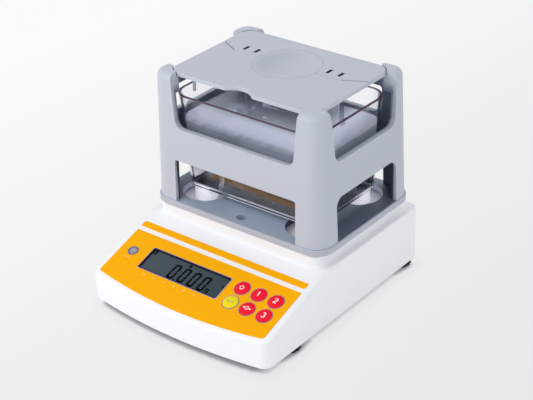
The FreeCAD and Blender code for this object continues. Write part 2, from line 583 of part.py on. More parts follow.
# the rear field stands a little higher; its border swings round the dish
top = PLATE_Z + PLATE_T
ty = SEAT_Y + STEP_Y
tip = PLATE_W / 2 - 0.9
rear_y = SEAT_Y + half_pd - 0.9
border = [V(-tip, SEAT_Y + 19.8, top), V(-52, ty, top), V(52, ty, top), V(tip, SEAT_Y + 19.8, top),
          V(tip, rear_y, top), V(-tip, rear_y, top)]
field = slab(2 * tip, 2 * (rear_y - SEAT_Y), PLATE_R - 0.9, top, top + STEP_UP, 0, SEAT_Y)
plate = plate.fuse(field.common(prism(border, V(0, 0, 1), STEP_UP)))
dish_y = SEAT_Y + DISH_OFF
plate = plate.fuse(cone(0, dish_y, PLATE_Z - 2.6, PLATE_Z, DISH_R - 4, DISH_R + 2))
dish_rs = (DISH_R ** 2 + DISH_DEEP ** 2) / (2 * DISH_DEEP)
rim_z = top + STEP_UP
plate = plate.cut(Part.makeSphere(dish_rs, V(0, dish_y, rim_z + dish_rs - DISH_DEEP)))
for sx in (-1, 1):
    # groove at the foot of the slanted border
    a = V(sx * tip, SEAT_Y + 19.8, 0)
    b = V(sx * 52, ty, 0)
    d = b - a
    n = V(-d.y, d.x, 0)
    n.normalize()
    if n.y > 0:
        n = n * -1
    a, b = a - d * 0.2, b - d * 0.06
    g = [a, b, b + n * 1.0, a + n * 1.0]
    plate = plate.cut(prism([V(p.x, p.y, top - 1.6) for p in g], V(0, 0, 1), 6))
    for x in SLOT_X:
        plate = plate.cut(slab(SLOT_W, SLOT_L, 0.5, PLATE_Z - 4, rim_z + 1, sx * x,
                               SEAT_Y + SLOT_Y))
    for y, z in ((-half_pd + 2.6, top), (half_pd - 2.6, rim_z)):
        rib = slab(32.0, 2.0, 0.9, z, z + 0.3, sx * 42.0, SEAT_Y + y)
        plate = plate.fuse(rib)
    plate = plate.fuse(cyl(sx * PEG_X, SEAT_Y - PEG_Y, PLATE_Z - PEG_LEN, PLATE_Z, PEG_R))
plate = plate.cut(cyl(10.5, SEAT_Y - 46.0, top - 0.3, top + 1, 3.4))
save("weighing_plate", plate.removeSplitter())

# ---------------------------------------------------------------- water tank
def tank_body(t, z0):
    k = (z0 - TANK_Z0) / (TANK_Z1 - TANK_Z0)
    low = (FOOT_W + k * (RIM_W - FOOT_W) - 2 * t, FOOT_D + k * (RIM_D - FOOT_D) - 2 * t,
           FOOT_R + k * (RIM_R - FOOT_R) - t, z0)
    high = (RIM_W - 2 * t, RIM_D - 2 * t, RIM_R - t, TANK_Z1)
    body = taper(low, high)
    return fillet_where(body, TANK_EDGE_R - t * 0.6, lambda e: e.CenterOfMass.z < z0 + 0.05)


tank = tank_body(0.0, TANK_Z0).cut(tank_body(TANK_WALL, TANK_Z0 + TANK_WALL))
save("water_tank", tank)

# ---------------------------------------------------------------- basket
basket_y = SEAT_Y + DISH_OFF
basket = slab(BASKET_W, BASKET_D, 10.0, BASKET_Z, BASKET_Z + 2.4, 0, basket_y)
rim = slab(BASKET_W, BASKET_D, 10.0, BASKET_Z, BASKET_Z + 6.0, 0, basket_y)
rim = rim.cut(slab(BASKET_W - 4, BASKET_D - 4, 8.0, BASKET_Z - 1, BASKET_Z + 7, 0, basket_y))
basket = basket.fuse(rim)
for i in range(-3, 4):
    for j in range(-1, 2):
        basket = basket.cut(cyl(i * 12.6, basket_y + j * 15.0, BASKET_Z - 1, BASKET_Z + 8, 2.6))
HANG_T, HANG_W = 1.0, 6.4
for sx in (-1, 1):
    for x in SLOT_X:
        basket = basket.cut(slab(HANG_T + 0.2, HANG_W + 0.3, 0.1, BASKET_Z - 1, BASKET_Z + 3,
                                 sx * x, SEAT_Y + SLOT_Y))
save("basket_tray", basket.removeSplitter())
hangers = []
for sx in (-1, 1):
    parts = []
    for x in SLOT_X:
        parts.append(box(sx * x - HANG_T / 2, sx * x + HANG_T / 2, SEAT_Y + SLOT_Y - HANG_W / 2,
                         SEAT_Y + SLOT_Y + HANG_W / 2, BASKET_Z - 1.0, PLATE_Z + 1.0))
    lo, hi = min(sx * v for v in SLOT_X), max(sx * v for v in SLOT_X)
    foot = box(lo - HANG_T / 2, hi + HANG_T / 2, SEAT_Y + SLOT_Y - HANG_W / 2,
               SEAT_Y + SLOT_Y + HANG_W / 2, BASKET_Z - 1.0, BASKET_Z)
    yoke = box(lo, hi, SEAT_Y + SLOT_Y - HANG_W / 2, SEAT_Y + SLOT_Y + HANG_W / 2,
               PLATE_Z - 1.0, PLATE_Z)
    hangers.append(parts[0].fuse([parts[1], foot, yoke]))
save("basket_hangers", *hangers)

# ---------------------------------------------------------------- control panel
def panel_slab(x0, x1, s0, s1, n0, n1, r=0.05):
    return slab(x1 - x0, s1 - s0, r, n0, n1, (x0 + x1) / 2, (s0 + s1) / 2)


# main overlay: straight on three sides, its front edge follows the bulge
front_s = OVER_INSET / COS
mid_s = front_s - BULGE / COS
corner = 3.0
a = OVER_HALF
bow = BULGE / COS * (1 - (a / (W / 2)) ** 2)
arc = Part.Arc(V(-a, mid_s + BULGE / COS - bow, 0), V(0, mid_s, 0),
               V(a, mid_s + BULGE / COS - bow, 0)).toShape()
s_end = mid_s + BULGE / COS - bow
film = Part.Face(Part.Wire([arc, Part.makeLine(V(a, s_end, 0), V(a, OVER_TOP, 0)),
                            Part.makeLine(V(a, OVER_TOP, 0), V(-a, OVER_TOP, 0)),
                            Part.makeLine(V(-a, OVER_TOP, 0), V(-a, s_end, 0))]))
film = film.extrude(V(0, 0, OVER_T))
film = fillet_where(film, corner, lambda e: abs(e.tangentAt(e.FirstParameter).z) > 0.9
                    and e.CenterOfMass.x > 0 and e.CenterOfMass.y < 10)
film = film.cut(panel_slab(LCD_X0, LCD_X1, LCD_S0, LCD_S1, -1, 2, 0.8))
for x, s in keys:
    film = film.cut(cyl(x, s, -1, 2, KEY_R + KEY_CLEAR))
film = film.cut(cyl(LEVEL_X, LEVEL_S, -1, 2, LEVEL_R - 0.2))
save("panel_overlay", on_panel(film))
strip = panel_slab(-OVER_HALF, OVER_HALF, STRIP_LOW, STRIP_TOP, 0, OVER_T, 0.3)


def strip_corner(x, s, sx, ss, r=2.4):
    """What rounding the strip's corner at (x, s) by r takes away."""
    x0, x1 = sorted((x - sx * r, x + sx))
    s0, s1 = sorted((s - ss * r, s + ss))
    return box(x0, x1, s0, s1, -1, 2).cut(cyl(x - sx * r, s - ss * r, -2, 3, r))


strip = strip.cut(strip_corner(-OVER_HALF, STRIP_TOP, -1, 1))
strip = strip.cut(strip_corner(OVER_HALF, STRIP_LOW, 1, -1))
save("header_strip", on_panel(strip))

# display: frame, lens, glass, board
frame_in = LENS_IN - 0.3
lcd_frame = panel_slab(LCD_X0 + 0.1, LCD_X1 - 0.1, LCD_S0 + 0.1, LCD_S1 - 0.1, 0, OVER_T + 0.3, 0.7)
lcd_frame = lcd_frame.cut(panel_slab(LCD_X0 + frame_in, LCD_X1 - frame_in, LCD_S0 + frame_in,
                                     LCD_S1 - frame_in, -1, 2, 0.5))
save("display_frame", on_panel(lcd_frame))
lens = panel_slab(lcd_x - lens_w / 2, lcd_x + lens_w / 2, lcd_s - lens_h / 2, lcd_s + lens_h / 2,
                  -2.2, 0.3, 0.5)
save("display_window", on_panel(lens))
GLASS_OVER = 2.2
glass = panel_slab(lcd_x - lens_w / 2 - GLASS_OVER, lcd_x + lens_w / 2 + GLASS_OVER,
                   lcd_s - lens_h / 2 - GLASS_OVER, lcd_s + lens_h / 2 + GLASS_OVER, -5.6, -2.6, 0.4)
save("display_glass", on_panel(glass))
holder = panel_slab(LCD_X0 - 2.6, LCD_X1 + 2.6, LCD_S0 - 1.6, LCD_S1 + 1.6, DISPLAY_N, -2.6, 1.0)
holder = holder.cut(panel_slab(lcd_x - lens_w / 2 - GLASS_OVER - 0.1,
                               lcd_x + lens_w / 2 + GLASS_OVER + 0.1,
                               lcd_s - lens_h / 2 - GLASS_OVER - 0.1,
                               lcd_s + lens_h / 2 + GLASS_OVER + 0.1, -5.6, 0, 0.4))
save("display_backlight", on_panel(holder))
disp_board = panel_slab(LCD_X0 - 4.0, LCD_X1 + 3.0, LCD_S0 - 7.0, LCD_S1 + 7.0,
                        DISPLAY_N - BOARD_T, DISPLAY_N, 1.0)
for x, s in disp_screws:
    disp_board = disp_board.cut(cyl(x, s, DISPLAY_N - 3, DISPLAY_N + 1, 1.1))
save("display_board", on_panel(disp_board))

# keys, their rings, switches and board
def key_cap(x, s):
    shaft = cyl(x, s, -4.0, OVER_T + 0.5, KEY_R)
    dome_r = 22.0
    ball = Part.makeSphere(dome_r, V(x, s, OVER_T + 1.5 - dome_r))
    cap = cyl(x, s, OVER_T, OVER_T + 1.5, KEY_R).common(ball)
    flange = cyl(x, s, -4.0, -WALL - KEY_STROKE_FREE, KEY_R + 1.2)
    stem = cyl(x, s, -4.6, -3.9, 1.5)
    return shaft.fuse([cap, flange, stem])


key_names = ("power_key", "a_key", "b_key", "enter_key", "zero_key", "c_key")
for name, (x, s) in zip(key_names, keys):
    save(name, on_panel(key_cap(x, s)))
KEY_BORE_R = KEY_R + KEY_CLEAR
save("key_rings", *[on_panel(ring(x, s, OVER_T, OVER_T + 0.35, KEY_BORE_R + KEY_RING_W, KEY_BORE_R))
                    for x, s in keys])
SWITCH_TOP = -4.6 - KEY_TRAVEL
save("key_switches", *[on_panel(box(x - 3, x + 3, s - 3, s + 3, BOARD_N, SWITCH_TOP)
                                .fuse(cyl(x, s, SWITCH_TOP - 0.5, SWITCH_TOP, 1.8)))
                       for x, s in keys])
KEY_BOARD_EDGE = 3.6     # board beyond the middles of the outer keys
KEY_BOARD_HALF_S = 20.5
key_board = panel_slab(KEY_X[0] - KEY_BOARD_EDGE, KEY_X[2] + KEY_BOARD_EDGE,
                       key_mid_s - KEY_BOARD_HALF_S, key_mid_s + KEY_BOARD_HALF_S,
                       BOARD_N - BOARD_T, BOARD_N, 1.5)
for x, s in key_screws:
    key_board = key_board.cut(cyl(x, s, BOARD_N - 3, BOARD_N + 1, 1.1))
save("key_board", on_panel(key_board))


def panel_screw(x, s, n):
    return on_panel(screw(x, s, n, 5.0, r=0.9, head_r=1.9, head_h=1.2))


save("panel_screws", *([panel_screw(x, s, DISPLAY_N - BOARD_T) for x, s in disp_screws]
                       + [panel_screw(x, s, BOARD_N - BOARD_T) for x, s in key_screws]))

# bubble level
level_cup = cyl(LEVEL_X, LEVEL_S, -8.0, OVER_T + 0.1, LEVEL_R - 0.5)
level_cup = level_cup.fuse(cyl(LEVEL_X, LEVEL_S, OVER_T, OVER_T + 0.5, LEVEL_R))
level_cup = level_cup.cut(cyl(LEVEL_X, LEVEL_S, -6.8, OVER_T + 1, LEVEL_R - 1.3))
save("level_ring", on_panel(level_cup))
vial = cyl(LEVEL_X, LEVEL_S, -6.8, OVER_T + 0.2, LEVEL_R - 1.35)
dome = Part.makeSphere(12.0, V(LEVEL_X, LEVEL_S, OVER_T + 0.7 - 12.0))
vial = vial.fuse(cyl(LEVEL_X, LEVEL_S, -1, OVER_T + 0.7, LEVEL_R - 1.35).common(dome))
save("level_vial", on_panel(vial))

# ---------------------------------------------------------------- main board and sockets
board = box(MAIN_X0, MAIN_X1, MAIN_Y0, MAIN_Y1, BOARD_Z, BOARD_Z + BOARD_T)
for x, y in board_holes:
    board = board.cut(cyl(x, y, BOARD_Z - 1, BOARD_Z + 3, 1.4))
save("main_board", board)
z0 = BOARD_Z + BOARD_T


def chip(across, up, w, d, h):
    """Part on the main board; its corner is at these shares of the board's width and depth."""
    x, y = MAIN_X0 + across * MAIN_W, MAIN_Y0 + up * MAIN_D
    return box(x, x + w, y, y + d, z0, z0 + h)


def capacitor(across, up, r, h):
    return cyl(MAIN_X0 + across * MAIN_W, MAIN_Y0 + up * MAIN_D, z0, z0 + h, r)


chips = [chip(0.31, 0.31, 16, 16, 1.6), chip(0.61, 0.38, 10, 10, 1.4), chip(0.1, 0.63, 8, 8, 4.2),
         chip(0.75, 0.69, 18, 6, 6.0), chip(0.41, 0.84, 28, 5, 6.0), chip(0.08, 0.13, 12, 6, 6.0),
         capacitor(0.82, 0.28, 4.0, 9.0), capacitor(0.92, 0.47, 3.2, 7.0)]
save("board_components", *chips)
save("board_screws", *[screw(x, y, z0, 6.0, r=1.1, head_r=2.4, head_h=1.6, up=False)
                       for x, y in board_holes])
inner_rear = REAR_Y - WALL
jack = box(JACK_X - 7, JACK_X + 7, inner_rear - 12, inner_rear, SOCKET_Z - 6, SOCKET_Z + 6)
jack = jack.fuse(Part.makeCylinder(JACK_R, WALL, V(JACK_X, inner_rear, SOCKET_Z), V(0, 1, 0)))
jack = jack.cut(Part.makeCylinder(3.2, 11, V(JACK_X, REAR_Y - 10, SOCKET_Z), V(0, 1, 0)))
save("power_socket", jack)
save("power_socket_pin", Part.makeCylinder(1.0, 8.0, V(JACK_X, REAR_Y - 10, SOCKET_Z), V(0, 1, 0)))
data = box(DATA_X - 15.4, DATA_X + 15.4, inner_rear - 1.0, inner_rear, SOCKET_Z - 6.2, SOCKET_Z + 6.2)
data = data.fuse(box(DATA_X - 9.4, DATA_X + 9.4, inner_rear - 9, inner_rear, SOCKET_Z - 5, SOCKET_Z + 5))
data = data.fuse(box(DATA_X - DATA_W / 2 + 0.2, DATA_X + DATA_W / 2 - 0.2, inner_rear - 1, REAR_Y,
                     SOCKET_Z - DATA_H / 2 + 0.2, SOCKET_Z + DATA_H / 2 - 0.2))
for i in range(5):
    data = data.cut(Part.makeCylinder(0.6, 6, V(DATA_X + (i - 2) * 2.76, REAR_Y - 5, SOCKET_Z + 1.4),
                                      V(0, 1, 0)))
for i in range(4):
    data = data.cut(Part.makeCylinder(0.6, 6, V(DATA_X + (i - 1.5) * 2.76, REAR_Y - 5,
                                                SOCKET_Z - 1.4), V(0, 1, 0)))
for sx in (-1, 1):
    data = data.cut(Part.makeCylinder(1.3, 12, V(DATA_X + sx * 12.5, REAR_Y - 10, SOCKET_Z),
                                      V(0, 1, 0)))
save("data_socket", data)
lock = []
for sx in (-1, 1):
    body = Part.makeCylinder(1.3, WALL + 3, V(DATA_X + sx * 12.5, inner_rear - 3, SOCKET_Z), V(0, 1, 0))
    nut = Part.makeCylinder(2.6, 2.0, V(DATA_X + sx * 12.5, inner_rear - 3, SOCKET_Z), V(0, 1, 0))
    lock.append(body.fuse(nut))
save("socket_screws", *lock)
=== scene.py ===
"""Looks, light and camera for the benchtop density meter.

The scene is in metres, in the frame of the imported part: X to the user's right, Y to the rear,
Z up from the bench. Sizes in this script are in mm unless a comment says metres, and MM turns
them into metres. Rigid pieces keep the CAD shape. The script rounds their edges, gives every
surface its finish, fills the tank, and adds what is printed on the panel and shown by the
display.
"""
import json
import math

import bmesh
import bpy
import numpy as np
from mathutils import Matrix, Vector


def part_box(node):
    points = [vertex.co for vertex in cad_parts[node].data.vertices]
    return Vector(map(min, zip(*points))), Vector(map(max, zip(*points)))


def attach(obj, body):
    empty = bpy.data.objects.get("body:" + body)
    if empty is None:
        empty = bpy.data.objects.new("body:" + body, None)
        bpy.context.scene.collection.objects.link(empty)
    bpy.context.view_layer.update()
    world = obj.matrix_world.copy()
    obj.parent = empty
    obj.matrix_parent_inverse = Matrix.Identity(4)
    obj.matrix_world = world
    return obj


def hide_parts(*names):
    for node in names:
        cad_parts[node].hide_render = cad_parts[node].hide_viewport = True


MM = 0.001               # metres in a millimetre

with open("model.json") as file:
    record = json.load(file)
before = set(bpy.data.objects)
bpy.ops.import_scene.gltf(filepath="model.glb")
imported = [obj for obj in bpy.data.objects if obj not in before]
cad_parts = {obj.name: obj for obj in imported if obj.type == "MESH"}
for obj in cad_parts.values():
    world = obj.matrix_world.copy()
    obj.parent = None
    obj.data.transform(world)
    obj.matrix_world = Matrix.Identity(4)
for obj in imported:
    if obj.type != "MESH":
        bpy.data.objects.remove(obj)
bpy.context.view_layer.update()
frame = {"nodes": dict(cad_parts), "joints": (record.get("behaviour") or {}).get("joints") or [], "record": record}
record = frame["record"]
BODY_OF = {node: body for body, nodes in record["behaviour"]["bodies"].items() for node in nodes}
SLOT_OF = {part["node"]: part["material_slot"] for part in record["subparts"]}


def corners(node):
    """The low and the high corner of a node's box, in mm."""
    return [[length / MM for length in corner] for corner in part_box(node)]


# ---------------- the panel's own axes
FILM_T = 0.5             # thickness of the panel film
FILM_TOP_S = 53.3        # upper edge of the film, up the slope
key_joint = next(j for j in frame["joints"] if j["child"] == "power_key_cap")
SLOPE = math.asin(key_joint["axis"][1])
film_high = corners("panel_overlay")[1]
FOOT_Y = film_high[1] - FILM_TOP_S * math.cos(SLOPE)
FOOT_Z = film_high[2] - FILM_TOP_S * math.sin(SLOPE) - FILM_T * math.cos(SLOPE)


def up_slope(y, z):
    """How far up the panel's slope a place is: s = (y - foot) cos + (z - foot) sin."""
    return (y - FOOT_Y) * math.cos(SLOPE) + (z - FOOT_Z) * math.sin(SLOPE)


def on_panel(points):
    """Panel coordinates in mm, x across, s up the slope and n out of it, to metres in the
    frame: y = foot + s cos - n sin, z = foot + s sin + n cos."""
    x, s, n = np.moveaxis(np.asarray(points, float), -1, 0)
    y = FOOT_Y + s * math.cos(SLOPE) - n * math.sin(SLOPE)
    z = FOOT_Z + s * math.sin(SLOPE) + n * math.cos(SLOPE)
    return np.stack([x, y, z], -1) * MM


# ---------------- sizes of the CAD pieces
stand_low, stand_high = corners("stand_frame")
STAND_HALF_X = (stand_high[0] - stand_low[0]) / 2
STAND_HALF_Y = (stand_high[1] - stand_low[1]) / 2
STAND_MID_Y = (stand_high[1] + stand_low[1]) / 2
STAND_R = 14.4           # corner of the frame's outline

# holes in the stand's floor, and the weighing plate's dish and slots, from the stand's middle
HOLE_X, HOLE_Y, HOLE_R = 53.5, 33.7, 19.5
DISH_Y, DISH_R = 11.5, 28.5
SLOT_MID_X, SLOT_HALF_GAP, SLOT_Y = 41.85, 5.65, 17.8
SLOT_HALF_W, SLOT_HALF_L = 1.45, 3.8  # with the rounding of their edges

# the tank's outline at its foot and at its rim: width, depth and corner radius
tank_low, tank_high = corners("water_tank")
TANK_MID = ((tank_low[0] + tank_high[0]) / 2, (tank_low[1] + tank_high[1]) / 2)
TANK_FOOT = (133.4, 90.2, 13.0)
TANK_RIM = (tank_high[0] - tank_low[0], tank_high[1] - tank_low[1], 17.0)
TANK_BOTTOM, TANK_TOP = tank_low[2], tank_high[2]
TANK_WALL = 2.5
WATER_TOP = 139.0

# the display window, in panel coordinates
WINDOW_N0, WINDOW_N1 = -2.2, 0.3  # its underside and its face
window_low, window_high = corners("display_window")
WINDOW_X0, WINDOW_X1 = window_low[0], window_high[0]
WINDOW_S0 = (window_low[2] - FOOT_Z - WINDOW_N0 * math.cos(SLOPE)) / math.sin(SLOPE)
WINDOW_S1 = (window_high[2] - FOOT_Z - WINDOW_N1 * math.cos(SLOPE)) / math.sin(SLOPE)
WINDOW_W, WINDOW_H = WINDOW_X1 - WINDOW_X0, WINDOW_S1 - WINDOW_S0
WINDOW_MID = ((WINDOW_X0 + WINDOW_X1) / 2, (WINDOW_S0 + WINDOW_S1) / 2)
BEZEL_OVER = WINDOW_X0 - corners("display_frame")[0][0]
BEZEL_R = 2.0            # corner of the bezel's outline


# ---------------- shader sums
MIX_A, MIX_B, MIX_RESULT = 6, 7, 2  # the colour sockets of a Mix node, by number


class Wire:
    """An output of a shader node. An operator on it adds the Math node of that sum."""

    def __init__(self, look, socket):
        self.look = look
        self.socket = socket

    def sum(self, operation, a, b):
        return self.look.node("ShaderNodeMath", {"operation": operation}, {0: a, 1: b})

    def __add__(self, other):
        return self.sum("ADD", self, other)

    def __sub__(self, other):
        return self.sum("SUBTRACT", self, other)

    def __rsub__(self, other):
        return self.sum("SUBTRACT", other, self)

    def __mul__(self, other):
        return self.sum("MULTIPLY", self, other)

    def __pow__(self, other):
        return self.sum("POWER", self, other)

    __radd__ = __add__
    __rmul__ = __mul__

    def size(self):
        return self.sum("ABSOLUTE", self, 0.0)

    def below(self, edge):
        return self.sum("LESS_THAN", self, edge)

    def above(self, edge):
        return self.sum("GREATER_THAN", self, edge)

    def at_most(self, other):
        return self.sum("MINIMUM", self, other)

    def at_least(self, other):
        return self.sum("MAXIMUM", self, other)

    def zigzag(self, height):
        """Up to the height and down again, over and over."""
        return self.sum("PINGPONG", self, height)

    def between(self, least, most):
        """A value of 0 to 1 stretched to run from least to most."""
        return self * (most - least) + least


class Look:
    def __init__(self, name):
        self.material = bpy.data.materials.new(name)
        self.material.use_nodes = True
        self.tree = self.material.node_tree
        self.tree.nodes.clear()

    def node(self, kind, settings=None, inputs=None, out=0):
        """Any shader node: its settings first, then the values or links of its sockets."""
        made = self.tree.nodes.new(kind)
        for key, value in (settings or {}).items():
            setattr(made, key, value)
        for key, value in (inputs or {}).items():
            if isinstance(value, Wire):
                self.tree.links.new(value.socket, made.inputs[key])
            else:
                made.inputs[key].default_value = value
        return Wire(self, made.outputs[out])

    def place(self):
        return self.node("ShaderNodeTexCoord", out="Object")

    def xyz(self):
        """x, y and z in the frame, in mm."""
        where = self.place()
        axes = [self.node("ShaderNodeSeparateXYZ", {}, {0: where}, out=i) for i in range(3)]
        return [axis * (1 / MM) for axis in axes]

    def from_stand(self):
        """x, y and z in mm, with y counted from the stand's middle."""
        x, y, z = self.xyz()
        return x, y - STAND_MID_Y, z

    def ramp(self, value, start, end):
        """0 at start and beyond it, 1 at end and beyond it, and a straight run between them."""
        return ((value - start) * (1 / (end - start))).at_least(0.0).at_most(1.0)

    def depth_in(self, x, y, half_x, half_y, corner):
        """How far a point lies inside a rounded rectangle: the corner radius less the distance
        to the rectangle that the corners' centres span."""
        dx = (x.size() - (half_x - corner)).at_least(0.0)
        dy = (y.size() - (half_y - corner)).at_least(0.0)
        return corner - (dx ** 2.0 + dy ** 2.0) ** 0.5

    def noise(self, size_mm, detail=2.0, stretch=(1, 1, 1)):
        """Noise whose lumps are about size_mm across, from 0 to 1."""
        where = self.node("ShaderNodeMapping", {}, {"Vector": self.place(), "Scale": stretch})
        return self.node("ShaderNodeTexNoise", {"noise_dimensions": "3D"},
                         {"Vector": where, "Scale": 1 / (size_mm * MM), "Detail": detail,
                          "Roughness": 0.55})

    def blend(self, amount, a, b):
        """Colour a where amount is 0, colour b where it is 1."""
        return self.node("ShaderNodeMix", {"data_type": "RGBA"},
                         {"Factor": amount, MIX_A: a, MIX_B: b}, out=MIX_RESULT)

    def bump(self, height, depth_mm, strength):
        return self.node("ShaderNodeBump", {}, {"Height": height, "Distance": depth_mm * MM,
                                                "Strength": strength})

    def surface(self, **sockets):
        """A Principled shader; a _ in a socket's name stands for a space."""
        named = {words.replace("_", " "): value for words, value in sockets.items()}
        return self.node("ShaderNodeBsdfPrincipled", {}, named)

    def painted_glow(self, colour, rough, glow):
        """A surface with painted light: it glows with a share of its own colour, though it is no lamp."""
        return self.surface(Base_Color=colour, Roughness=rough, Emission_Color=colour,
                            Emission_Strength=glow)

    def mix(self, share, a, b):
        """Shader a where share is 0, shader b where it is 1."""
        return self.node("ShaderNodeMixShader", {}, {0: share, 1: a, 2: b})

    def finish(self, shader):
        target = self.tree.nodes.new("ShaderNodeOutputMaterial")
        self.tree.links.new(shader.socket, target.inputs["Surface"])
        return self.material

    def principled(self, **sockets):
        return self.finish(self.surface(**sockets))


def shade(r, g, b):
    """A colour as it is read on a screen, 0 to 255, as the linear colour of a socket."""
    c = np.array([r, g, b]) / 255.0
    c = np.where(c <= 0.04045, c / 12.92, ((c + 0.055) / 1.055) ** 2.4)
    return (*c.tolist(), 1.0)


def mottled(look, colour, size_mm, amount):
    """The colour, made darker by up to amount in soft patches."""
    dark = tuple(v * (1 - amount) for v in colour[:3]) + (1.0,)
    return look.blend(look.noise(size_mm, 3.0), dark, colour)


# ---------------- finishes
STAND_GREY = shade(193, 198, 209)
ACRYLIC_IOR, WATER_IOR, OIL_IOR = 1.49, 1.333, 1.4
MOTTLE_MM, GLOSS_MM = 12.0, 18.0  # patches of a moulding's shade and of its gloss


def moulded(name, colour, rough, grain_mm=0.5, grain_depth=0.01, coat=0.0, mottle=0.03, gloss=0.5):
    """Injection moulded plastic: fine grain, a little unevenness in shade and gloss."""
    look = Look(name)
    return look.principled(Base_Color=mottled(look, colour, MOTTLE_MM, mottle),
                           Roughness=look.noise(GLOSS_MM).between(rough - 0.03, rough + 0.03),
                           Normal=look.bump(look.noise(grain_mm, 3.0), grain_depth, 0.6),
                           Specular_IOR_Level=gloss, Coat_Weight=coat, Coat_Roughness=0.06)


def metal(name, colour, rough):
    """Bare metal with fine lines brushed along Y."""
    look = Look(name)
    lines = look.noise(0.25, 2.0, (1.0, 0.12, 1.0))
    return look.principled(Base_Color=mottled(look, colour, 6.0, 0.08), Metallic=1.0,
                           Roughness=lines.between(rough - 0.08, rough + 0.08),
                           Normal=look.bump(lines, 0.004, 0.5))


def printed_film(name, colour, gloss=0.06):
    """Polyester film printed from behind: even ink under a fine satin texture."""
    look = Look(name)
    return look.principled(Base_Color=mottled(look, colour, 25.0, 0.02),
                           Roughness=look.noise(30.0).between(0.3, 0.35),
                           Normal=look.bump(look.noise(0.22, 1.0), 0.004, 0.5),
                           Specular_IOR_Level=gloss)


def clear_liquid(name, tint, ior):
    """Clear liquid with the faintest unevenness of its skin."""
    look = Look(name)
    return look.principled(Base_Color=tint, Roughness=0.015, Transmission_Weight=1.0, IOR=ior,
                           Normal=look.bump(look.noise(30.0, 1.0), 0.05, 0.15))


def thin_window(name):
    """Thin anti-glare sheet: nearly nothing of it shows but a faint sheen."""
    look = Look(name)
    return look.principled(Base_Color=(0.02, 0.02, 0.03, 1.0), Alpha=0.1,
                           Roughness=look.noise(20.0).between(0.1, 0.14))


RIM_EDGE = 0.8           # height of the edge below the tank's top that carries a painted violet shade
PALE_Y, PALE_X = (38.0, 47.0), (-60.0, -68.0)  # where that edge's painted shade turns pale and is pale
GLINT_X0, GLINT_X1 = -22.0, 56.0  # the painted highlight along the tank's front foot
GLINT_HIGH, GLINT_DEEP = 2.6, 4.0


def tank_finish(name):
    """Clear acrylic, with a painted dark violet shade along the cut edge of the rim, painted paler at
    the rear and left of it, and a painted highlight along a stretch of the front foot."""
    look = Look(name)
    x, y, z = look.from_stand()
    clear = look.surface(Base_Color=(0.985, 0.985, 1.0, 1.0), Roughness=0.012,
                         Transmission_Weight=1.0, IOR=ACRYLIC_IOR,
                         Normal=look.bump(look.noise(30.0, 1.0), 0.05, 0.15))
    # a painted highlight, glowing, along a stretch of the front foot
    along = x.above(GLINT_X0) * x.below(GLINT_X1)
    painted_glint = along * z.below(TANK_BOTTOM + GLINT_HIGH) * y.below(GLINT_DEEP - TANK_FOOT[1] / 2)
    painted_highlight = look.painted_glow(shade(236, 238, 246), rough=0.3, glow=0.5)
    wall = look.mix(painted_glint * 0.75, clear, painted_highlight)
    # painted shade on the rim's cut edge: dark violet in front, painted paler at the rear and left, glowing a
    # little
    pale = look.ramp(y, *PALE_Y).at_least(look.ramp(x, *PALE_X))
    tint = look.blend(pale, shade(86, 62, 86), shade(176, 168, 186))
    rim = z.above(TANK_TOP - RIM_EDGE) * (0.85 - pale * 0.25)
    return look.finish(look.mix(rim, wall, look.painted_glow(tint, rough=0.25, glow=0.15)))


WATER_SKIN = 0.4         # what lies this close under the surface carries the painted sheen
DEPTH_SHADE_Z, GREY_Z = (92.0, 104.0), (119.0, 138.6)  # where painted shade darkens its depth, then where it turns grey
SIDE_Z, PALER_Z = (110.0, 118.0), (116.0, 138.0)  # where the painted reflection on its sides shows, and where it turns paler
# the painted sheen's share at the walls, in a band off them that is painted as lit, past the band
# and at the far side, and where each of the last three begins and is full, in from the front and the right wall
SHEEN_WALL, SHEEN_BAND, SHEEN_MIDDLE, SHEEN_FAR = 0.34, 0.94, 0.36, 0.12
BAND_IN, MIDDLE_IN, FAR_IN = (6.0, 17.0), (30.0, 42.0), (48.0, 68.0)
STREAK_RUN = 9.0         # how far the streaks shift the start of the band


